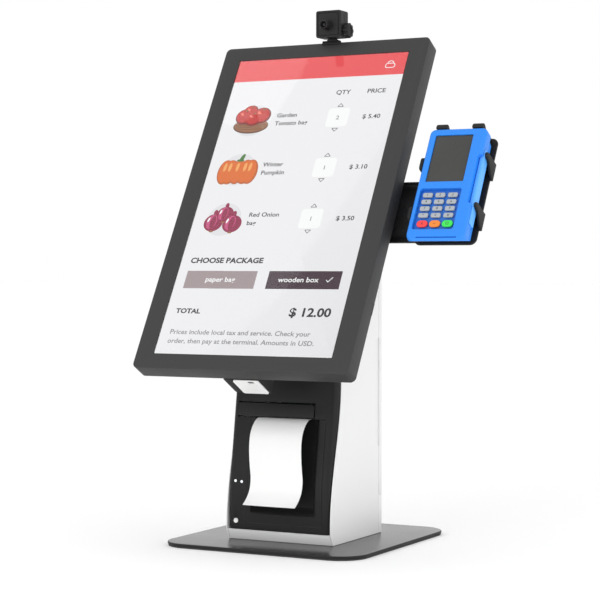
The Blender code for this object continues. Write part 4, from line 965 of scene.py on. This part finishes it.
def makeCamera():
    camera = {"seamAt": 0.0105, "seam": 0.0004, "seamDepth": 0.0006, "inset": 0.003, "line": 0.0009,
              "lineDepth": 0.001, "corner": 0.003, "past": 0.01, "glass": 0.5, "glassRise": 0.3,
              "lobes": 8, "lobe": 0.0007, "knobLength": 0.0079, "knobEdge": 0.0009, "shaft": 0.0019}
    low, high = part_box("camera_body")
    depth, past, inset = camera["seamDepth"], camera["past"], camera["inset"]
    seamLow = low.y + camera["seamAt"]
    seam = block((low.x - past, seamLow, low.z - past),
                 (high.x + past, seamLow + camera["seam"], high.z + past), edge=0)
    core = block((low.x + depth, low.y + 0.002, low.z + depth),
                 (high.x - depth, high.y - 0.002, high.z - depth), camera["corner"], 1, 6, 0)
    case = carve(fromFrame("camera_body", 0.0006, 3), carve(seam, core))
    frameLow = Vector((low.x + inset, low.y - past, low.z + inset))
    frameHigh = Vector((high.x - inset, low.y + camera["lineDepth"], high.z - inset))
    line = block(frameLow, frameHigh, camera["corner"], 1, 6, 0)
    within = Vector((camera["line"], -1.0, camera["line"]))
    island = block((frameLow.x + within.x, within.y, frameLow.z + within.z),
                   (frameHigh.x - within.x, -within.y, frameHigh.z - within.z), 0.0026, 1, 6, 0)
    case = carve(case, carve(line, island))
    finishPiece("cameraBody", case, "camera", "blackPlastic", ["camera_body"])

    low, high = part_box("camera_lens")
    middle, radius, reach = middleOf(low, high), (high.x - low.x) / 2, high.y - low.y
    steps = ((0.0, 0.0), (1.0, 0.0), (1.0, 0.3), (0.96, 0.33), (0.96, 0.4), (1.0, 0.43), (1.0, 0.8),
             (0.97, 0.9), (0.9, 0.97), (0.8, 1.0), (0.72, 1.0), (0.66, 0.97), (0.52, 0.84), (0.5, 0.72),
             (0.0, 0.72))
    barrel = lathe([(radius * out, reach * along) for out, along in steps], (middle.x, high.y, middle.z),
                   (0, -1, 0))
    finishPiece("cameraLens", barrel, "camera", "blackPlastic", ["camera_lens"])
    dome, wide, rise = [(0.0, 0.0)], radius * camera["glass"], radius * camera["glassRise"]
    for step in range(9):
        angle = math.pi / 2 * step / 8
        dome.append((wide * math.cos(angle), rise * math.sin(angle)))
    glass = lathe(dome, (middle.x, high.y - reach * 0.73, middle.z), (0, -1, 0), 36)
    finishPiece("lensGlass", glass, "camera", "lensGlass", ())

    low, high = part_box("camera_knob")
    middle, lobe, lobes = middleOf(low, high), camera["lobe"], camera["lobes"]
    grip = (high.y - low.y) / 2 - lobe
    shape = bmesh.new()
    bmesh.ops.create_circle(shape, cap_ends=True, segments=lobes * 12, radius=grip)
    for vert in shape.verts:
        vert.co *= 1 + lobe / grip * math.cos(lobes * math.atan2(vert.co.y, vert.co.x))
    drawOut(shape, (0.0, 0.0, camera["knobLength"]))
    bevelEdges(shape, sharpEdges(shape, 60), camera["knobEdge"], 4)
    moveShape(shape, Matrix.Translation((high.x - camera["knobLength"], middle.y, middle.z))
              @ Matrix.Rotation(math.pi / 2, 4, "Y"))
    dimple = [(0.0, -0.001), (0.0062, -0.001), (0.0054, 0.0008), (0.0, 0.001)]
    shape = carve(shape, lathe(dimple, (high.x, middle.y, middle.z), (-1, 0, 0), 32))
    screw = rod((low.x, middle.y, middle.z), (high.x - 0.006, middle.y, middle.z), camera["shaft"], 20)
    finishPiece("cameraKnob", [shape, screw], "camera_knob", "blackPlastic",
                ["camera_knob"])


def makeCradle():
    cradle = {"back": 0.0398, "face": 0.0364, "plate": ((0.1905, 0.0362, 0.209), (0.279, 0.3715)),
              "plateCorner": 0.009, "hooks": (0.2103, 0.262), "hookHalf": 0.0078,
              "claws": (0.23, 0.306), "clawHeight": 0.026, "clawX": (0.2794, 0.2828), "tip": 0.0042,
              "finger": (0.189, 0.0045, 0.1942), "fingerHeight": 0.019, "root": (0.274, 0.2826),
              "hinge": (0.234, 0.0455), "hingeUps": (0.2433, 0.2927), "hingeRadius": 0.005,
              "screwXs": (0.204, 0.266), "screwUps": (0.219, 0.356)}
    back, face, plateLow = cradle["back"], cradle["face"], cradle["plate"][0]
    plateRight, plateTop = cradle["plate"][1]
    shapes = [block(plateLow, (plateRight, back, plateTop), cradle["plateCorner"], 1, 12, 0.001, 3)]
    # the tabs that hook over the terminal's top edge
    hook = [(0.0006, 0.3665), (0.0004, 0.3695), (0.001, 0.3718), (0.0024, 0.3736), (0.0046, 0.3744),
            (0.0072, 0.374), (0.0098, 0.3726), (0.0132, 0.3708), (0.034, 0.3704), (back, 0.37),
            (back, 0.364), (face, 0.364), (face, 0.3664)]
    for x in cradle["hooks"]:
        shapes.append(outline(hook, x - cradle["hookHalf"], x + cradle["hookHalf"], 0.001, 3))
    # the claws on the right, narrow at the front and spreading into the plate, and the left fingers
    for low in cradle["claws"]:
        high, tip = low + cradle["clawHeight"], cradle["tip"]
        claw = [(back, low), (back, high), (0.033, high - 0.0002), (0.02, high - 0.0002)]
        for step in range(9):
            angle = math.pi * (0.5 + step / 8)
            claw.append((0.0098 + tip * math.cos(angle), high - 0.0044 + tip * math.sin(angle)))
        claw += [(0.016, high - 0.0105), (0.0225, low + 0.01), (0.029, low + 0.004),
                 (0.0345, low + 0.0008)]
        shapes.append(outline(claw, *cradle["clawX"], 0.0009, 3))
        rootLow, rootHigh = cradle["root"]
        shapes.append(block((rootLow, face, low + 0.0002), (rootHigh, back, high - 0.0002), edge=0.0006))
        fingerLeft, fingerFront, fingerRight = cradle["finger"]
        shapes.append(block((fingerLeft, fingerFront, low), (fingerRight, back, low + cradle["fingerHeight"]),
                            0.0045, 0, 8, 0.0012, 3, where=lambda spot: spot.y < 0.02))
    (x, y), (foot, top), radius = cradle["hinge"], cradle["hingeUps"], cradle["hingeRadius"]
    shapes.append(rod((x, y, foot), (x, y, top), radius))
    shapes.append(block((x - 0.0045, 0.038, foot), (x + 0.0045, y, top)))
    for up in cradle["screwUps"]:
        for x in cradle["screwXs"]:
            shapes.append(screwHead((x, back, up), (0, 1, 0), 0.0028, 0.001))
    finishPiece("cradlePlate", shapes, "terminal", "blackPlastic", ["cradle_plate"],
                headPlace)


def makeTerminal():
    terminal = {
        "corner": 0.013, "topCorner": 0.008, "steps": 14, "edge": 0.0045, "backEdge": 0.0012,
        "mouth": 0.0007, "waist": 0.2722, "foot": 0.193, "split": 0.0168, "backFoot": 0.1915,
        "backRight": 0.2735, "backCorner": 0.011, "backRim": 0.0062, "screenGap": 0.0007,
        "screenDepth": 0.0022, "screenSink": 0.0009, "shadowRing": 0.0006,
        "underside": [(-0.01, 0.15), (-0.01, 0.1873), (0.05, 0.2215), (0.05, 0.15)],
        "keypad": ((0.202, -0.01, 0.2105), (0.2605, 0.005, 0.2727)),
        "slot": ((0.211, -0.01, 0.1978), (0.268, 0.0036, 0.1994)),
        "side": ((0.2722, -0.01, 0.25), (0.29, 0.05, 0.324)),
        "flank": ((0.2722, 0.006, 0.2225), (0.29, 0.05, 0.335)),
        "floor": ((0.2022, 0.0046, 0.2107), (0.2603, 0.0051, 0.2725)),
        "card": ((0.214, 0.0185, 0.18), (0.26, 0.0205, 0.21)),
        "rail": ((0.2728, 0.0064, 0.2232), (0.2788, 0.02, 0.3343)),
        "tab": ((0.277, 0.009, 0.326), (0.279, 0.017, 0.3344)),
    }
    screenLow, screenHigh = headBox("terminal_screen")
    low, high = headBox("terminal_front_shell")
    low.z = terminal["foot"]
    middle = (low.z + high.z) / 2

    def faceEdges(shape, at):
        return sharpEdges(shape, 60, lambda spot: abs(spot.y - at) < 0.0001)

    front = block(low, high, terminal["corner"], 1, terminal["steps"], 0, where=lambda spot: spot.z < middle)
    top = edgesAlong(front, 1, lambda spot: spot.z > middle)
    bevelEdges(front, top, terminal["topCorner"], terminal["steps"])
    bevelEdges(front, faceEdges(front, low.y), terminal["edge"], 8)
    bevelEdges(front, faceEdges(front, high.y), terminal["backEdge"], 3)
    gap = terminal["screenGap"]
    pocket = block((screenLow.x - gap, -0.01, screenLow.z - gap),
                   (screenHigh.x + gap, terminal["screenDepth"], screenHigh.z + gap), 0.0015, 1, 6, 0)
    front = carve(front, outline(terminal["underside"], 0.18, 0.3, 0), pocket,
                  block(*terminal["keypad"], 0.0035, 1, 8, 0), block(*terminal["slot"], 0.0007, 1, 4, 0),
                  block(*terminal["side"], 0.0035, 1, 6, 0), block(*terminal["flank"], edge=0))
    mouth = sharpEdges(front, 60, lambda spot: spot.y < 0.001 and spot.x < terminal["waist"])
    bevelEdges(front, mouth, terminal["mouth"], 3)
    finishPiece("terminalFront", front, "terminal", "terminalBlue",
                ["terminal_front_shell"], headPlace)
    # a darker copy of the blue laid on the keypad's floor: painted shade in the recess
    floor = block(*terminal["floor"], 0.0033, 1, 6, 0.0001)
    finishPiece("keypadFloor", floor, "terminal", "terminalDeep", (), headPlace)

    low, high = headBox("terminal_back_shell")
    back = block((low.x, terminal["split"], terminal["backFoot"]), (terminal["backRight"], high.y, high.z),
                 terminal["backCorner"], 1, terminal["steps"], 0)
    bevelEdges(back, faceEdges(back, high.y), terminal["backRim"], 8)
    bevelEdges(back, faceEdges(back, terminal["split"]), 0.001, 3)
    back = carve(back, outline(terminal["underside"], 0.18, 0.3, 0),
                 block(*terminal["card"], 0.0006, 1, 3, 0))
    finishPiece("terminalBack", back, "terminal", "terminalBlue",
                ["terminal_back_shell"], headPlace)
    # the rail and its tab take a lighter copy of the blue: painted highlight along the raised bar
    rail = block(*terminal["rail"], 0.0018, 0, 6, 0.0009, 4)
    tab = block(*terminal["tab"], 0.0015, 0, 5)
    finishPiece("terminalRail", [rail, tab], "terminal", "terminalLight", (), headPlace)
    screenLow.y += terminal["screenSink"]
    # a black ring laid round the sunk screen in its pocket: painted shadow along the pocket's rim
    rim = terminal["shadowRing"]
    shadowRing = block((screenLow.x - rim, screenLow.y + 0.0004, screenLow.z - rim),
                   (screenHigh.x + rim, screenHigh.y + 0.0002, screenHigh.z + rim), 0.0014, 1, 6, 0.0001)
    finishPiece("terminalScreenShadow", shadowRing, "terminal", "blackRubber", (), headPlace)
    pane = block(screenLow, screenHigh, 0.0013, 1, 6, 0.0002)
    finishPiece("terminalScreen", pane, "terminal", "screenDark", ["terminal_screen"],
                headPlace)


def makeKeys():
    keys = {"corner": 0.62, "roundCorner": 0.98, "edge": 0.0008, "roundEdge": 0.001, "ink": 0.00006,
            "digit": 0.0052, "drop": 0.0018, "stroke": 0.0006, "cross": 0.0046, "dash": 0.004,
            "ring": (0.0022, 0.0016, 0.00003)}
    digits = {"key_41": "*", "key_42": "0", "key_43": "#"}
    for row in range(3):
        for column in range(3):
            digits[f"key_{row + 1}{column + 1}"] = str(row * 3 + column + 1)
    for node, digit in digits.items():
        low, high = headBox(node)
        middle, front = middleOf(low, high), low.y - keys["ink"]
        cap = block(low, high, (high.z - low.z) / 2 * keys["corner"], 1, 6, keys["edge"], 4)
        label = words(digit, keys["digit"], middle.x, middle.z - keys["drop"], front)
        finishPiece(node.replace("_", "Cap"), [paint(cap, 0), paint(label, 1)], node, ["keyGrey", "keyInk"],
                    [node], headPlace)
    for node, look, slot in (("key_cancel", "keyRed", "key_red"), ("key_clear", "keyAmber", "key_amber"),
                             ("key_enter", "keyGreen", "key_green")):
        low, high = headBox(node)
        middle, front = middleOf(low, high), low.y - keys["ink"]
        cap = block(low, high, (high.z - low.z) / 2 * keys["roundCorner"], 1, 12, keys["roundEdge"], 4)
        if node == "key_cancel":
            marks = [bar(middle.x, middle.z, front, keys["cross"], keys["stroke"], turn)
                     for turn in (45, -45)]
        elif node == "key_clear":
            marks = [bar(middle.x, middle.z, front, keys["dash"], keys["stroke"], 0)]
        else:
            wide, inner, half = keys["ring"]
            ring = [(wide, -half), (wide, half), (inner, half), (inner, -half), (wide, -half)]
            marks = [lathe(ring, (middle.x, front, middle.z), (0, -1, 0), 32)]
        finishPiece(node.replace("_", "Cap"), [paint(cap, 0)] + [paint(mark, 1) for mark in marks], node,
                    [look, "keyInk"], [node], headPlace)


def makeRear():
    rear = {"edge": 0.0005, "ventRows": 9, "ventPitch": 0.0085, "ventHalf": 0.0016, "ventReach": 0.045,
            "ventBases": (0.09, 0.35), "past": 0.006, "knuckles": 5, "gap": 0.0002, "proud": 0.0004,
            "coreReach": 0.0046, "pins": ((0.0235, 0.03), (0.03, 0.034), (0.0365, 0.03)),
            "pinFront": 0.056, "pinSink": 0.0022, "pinHalf": (0.001, 0.0022)}
    low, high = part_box("rear_door")
    reach, half, past = rear["ventReach"], rear["ventHalf"], rear["past"]
    tools = []
    for base in rear["ventBases"]:
        for step in range(rear["ventRows"]):
            up = base + rear["ventPitch"] * step
            tools.append(block((-reach, high.y - past, up - half), (reach, high.y + past, up + half),
                               half * 0.98, 1, 5, 0))
    door = carve(fromFrame("rear_door", rear["edge"]), gather(tools))
    finishPiece("rearDoor", door, "rear_door", "paintedWhite", ["rear_door"])
    low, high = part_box("rear_hinge")
    middle, gap = middleOf(low, high), rear["gap"]
    length = (high.z - low.z) / rear["knuckles"]
    radius = (high.x - low.x) / 2 + rear["proud"]

    def column(foot, top, radius, steps, edge):
        return rod((middle.x, middle.y, foot), (middle.x, middle.y, top), radius, steps, edge)

    barrel = [column(low.z + length * n + gap, low.z + length * (n + 1) - gap, radius, 28, 0.0003)
              for n in range(rear["knuckles"])]
    barrel.append(column(low.z - rear["coreReach"], high.z + rear["coreReach"], radius * 0.9, 20, 0))
    finishPiece("rearHinge", barrel, "column", "paintedWhite", ["rear_hinge"])
    inlet = [paint(fromFrame("power_inlet", 0.0005, 3), 0)]
    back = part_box("power_inlet")[1].y - rear["pinSink"]
    wide, tall = rear["pinHalf"]
    for x, z in rear["pins"]:
        pin = block((x - wide, rear["pinFront"], z - tall), (x + wide, back, z + tall), edge=0.0003)
        inlet.append(paint(pin, 1))
    finishPiece("powerInlet", inlet, "column", ["blackPlastic", "zincSteel"],
                ["power_inlet"])


def makeRolls():
    rolls = {"core": 0.0085, "bore": 0.0065, "edge": 0.0005, "side": 0.0004, "tubeInset": 0.0006,
             "pin": 0.0021, "shoulder": 0.006}
    low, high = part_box("paper_roll")
    middle, radius, width = middleOf(low, high), (high.z - low.z) / 2, high.x - low.x
    core, bore, edge, side, inset = (rolls[key] for key in ("core", "bore", "edge", "side", "tubeInset"))
    start = (low.x, middle.y, middle.z)
    paper = [(core, 0.0), (radius - edge, 0.0), (radius, side), (radius, width - side),
             (radius - edge, width), (core, width), (core, 0.0)]
    card = [(bore, inset), (core - 0.0001, inset), (core - 0.0001, width - inset), (bore, width - inset),
            (bore, inset)]
    shapes = [paint(lathe(paper, start, (1, 0, 0), 72), 0), paint(lathe(card, start, (1, 0, 0)), 1)]
    finishPiece("paperRoll", shapes, "paper_roll", ["rollPaper", "cardCore"],
                ["paper_roll"])
    low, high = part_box("platen_roller")
    y, z = middleOf(low, high).yz
    pin = rod((low.x, y, z), (high.x, y, z), rolls["pin"], 24, 0.0002)
    sleeve = rod((low.x + rolls["shoulder"], y, z), (high.x - rolls["shoulder"], y, z), (high.z - low.z) / 2,
                 48, 0.0004)
    finishPiece("platenRoller", [paint(pin, 1), paint(sleeve, 0)], "platen_roller",
                ["blackRubber", "zincSteel"], ["platen_roller"])


def makeSupply():
    supply = {"columns": 9, "rows": 5, "pitch": 0.0058, "left": 0.01, "top": 0.018, "hole": 0.0019,
              "depth": 0.001}
    low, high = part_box("power_supply")
    holes = []
    for column in range(supply["columns"]):
        for row in range(supply["rows"]):
            x = low.x + supply["left"] + supply["pitch"] * column
            up = high.z - supply["top"] - supply["pitch"] * row
            back = high.y - supply["depth"]
            holes.append(rod((x, back, up), (x, high.y + 0.01, up), supply["hole"], 10, 0))
    case = carve(block(low, high, 0.002, 2, 4, 0.0006), gather(holes))
    finishPiece("powerSupply", case, "column", "zincSteel", ["power_supply"])


def makeBoard():
    board = {
        "sheet": ((-0.06, 0.036, 0.17), (0.06, 0.0376, 0.33)), "face": 0.0361, "fins": 10,
        "finPitch": 0.0044, "finWidth": 0.0016, "sinkX": 0.02, "sinkUps": (0.22, 0.26),
        "sinkFloor": 0.0345, "sinkFace": 0.0335, "cans": 14, "canPitch": 0.0085, "canLeft": -0.055,
        "canUp": 0.274, "canRadius": 0.0016, "screwX": 0.056, "screwUps": (0.174, 0.326),
        "chips": ((0.03, 0.18, 0.025, 0.02, 0.012), (-0.05, 0.285, 0.018, 0.018, 0.0016),
                  (-0.05, 0.19, 0.012, 0.016, 0.0016), (0.034, 0.286, 0.016, 0.01, 0.0014),
                  (0.035, 0.235, 0.01, 0.01, 0.0014), (-0.012, 0.19, 0.02, 0.012, 0.0016),
                  (0.01, 0.3, 0.014, 0.014, 0.0016)),
    }
    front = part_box("controller_board")[0].y
    face, reach, (foot, top) = board["face"], board["sinkX"], board["sinkUps"]
    shapes = [paint(block(*board["sheet"], 0.003, 1, 5, 0.0001), 0)]
    for n in range(board["fins"]):
        x = -reach + board["finPitch"] * n
        fin = block((x, front, foot), (x + board["finWidth"], board["sinkFloor"], top), edge=0.0001)
        shapes.append(paint(fin, 1))
    sink = block((-reach, board["sinkFace"], foot), (reach, face, top), edge=0.0002)
    shapes.append(paint(sink, 1))
    for x, up, wide, tall, deep in board["chips"]:
        shapes.append(paint(block((x, face - deep, up), (x + wide, face, up + tall), edge=0.0002), 2))
    for n in range(board["cans"]):
        x = board["canLeft"] + board["canPitch"] * n
        can = rod((x, face + 0.0001, board["canUp"]), (x, board["sinkFace"], board["canUp"]),
                  board["canRadius"], 14, 0.0002)
        shapes.append(paint(can, 1))
    for x in (-board["screwX"], board["screwX"]):
        for up in board["screwUps"]:
            shapes.append(paint(screwHead((x, face, up), (0, -1, 0), 0.0024, 0.0012), 1))
    finishPiece("controllerBoard", shapes, "column", ["circuitBoard", "zincSteel", "chipBlack"],
                ["controller_board"])


def makeStudio():
    studio = {"focal": 112.17, "sensor": 36.0, "place": (1.2135, -2.3035, 0.3849),
              "turn": (88.881, 0.0, 28.001), "floor": 30.0, "floorUp": -0.0002, "floorGlow": 0.1, "sky": 1.0,
              "floorColour": (0.9, 0.9, 0.9, 1.0), "white": (1.0, 1.0, 1.0, 1.0)}
    lens = bpy.data.cameras.new("camera")
    lens.lens = studio["focal"]
    lens.sensor_width = studio["sensor"]
    view = linked(bpy.data.objects.new("camera", lens))
    view.location = studio["place"]
    view.rotation_euler = [math.radians(angle) for angle in studio["turn"]]
    bpy.context.scene.camera = view

    shape = bmesh.new()
    bmesh.ops.create_grid(shape, x_segments=2, y_segments=2, size=studio["floor"])
    mesh = bpy.data.meshes.new("floor")
    shape.to_mesh(mesh)
    shape.free()
    material, tree, shader = newMaterial("floorWhite")
    fill(tree, shader, {
        "Base Color": studio["floorColour"], "Roughness": 0.9, "Specular IOR Level": 0.1,
        "Emission Color": studio["white"], "Emission Strength": studio["floorGlow"],
    })
    mesh.materials.append(material)
    floor = linked(bpy.data.objects.new("floor", mesh))
    floor.location.z = studio["floorUp"]

    world = bpy.data.worlds.new("studio")
    world.use_nodes = True
    fill(world.node_tree, world.node_tree.nodes["Background"],
         {"Color": studio["white"], "Strength": studio["sky"]})
    bpy.context.scene.world = world
    bpy.context.scene.view_settings.view_transform = "Standard"
    lamps = {
        "keyLight": {"place": (-0.4, -3.2, 1.9), "size": 1.6, "power": 11, "aim": (0.0, 0.0, 0.35)},
        "sideLight": {"place": (3.0, -0.6, 0.9), "size": 1.8, "power": 5, "aim": (0.0, 0.0, 0.35)},
        "lowSide": {"place": (1.5, -0.5, 0.16), "size": 0.7, "power": 3.2, "aim": (0.08, 0.0, 0.1)},
        "lowFront": {"place": (-0.5, -2.0, 0.12), "size": 0.8, "power": 7, "aim": (0.0, -0.08, 0.05)},
    }
    for name, lamp in lamps.items():
        light = bpy.data.lights.new(name, "AREA")
        light.shape = "DISK"
        light.size = lamp["size"]
        light.energy = lamp["power"]
        item = linked(bpy.data.objects.new(name, light))
        item.location = lamp["place"]
        aim = Vector(lamp["aim"]) - Vector(lamp["place"])
        item.rotation_euler = aim.to_track_quat("-Z", "Y").to_euler()


makeStudio()
print("studio made")
makeEased()
print("eased pieces made")
makeBase()
makeColumn()
print("base and column made")
makeFascia()
makePrinterDoor()
makeReceipt()
makeRolls()
print("receipt printer made")
makeDisplay()
makeScreen()
makeRearCover()
makeTilt()
makeScanner()
makeCamera()
print("display, scanner and camera made")
makeCradle()
makeTerminal()
makeKeys()
print("payment terminal made")
makeRear()
makeSupply()
makeBoard()
print("back and inside made")
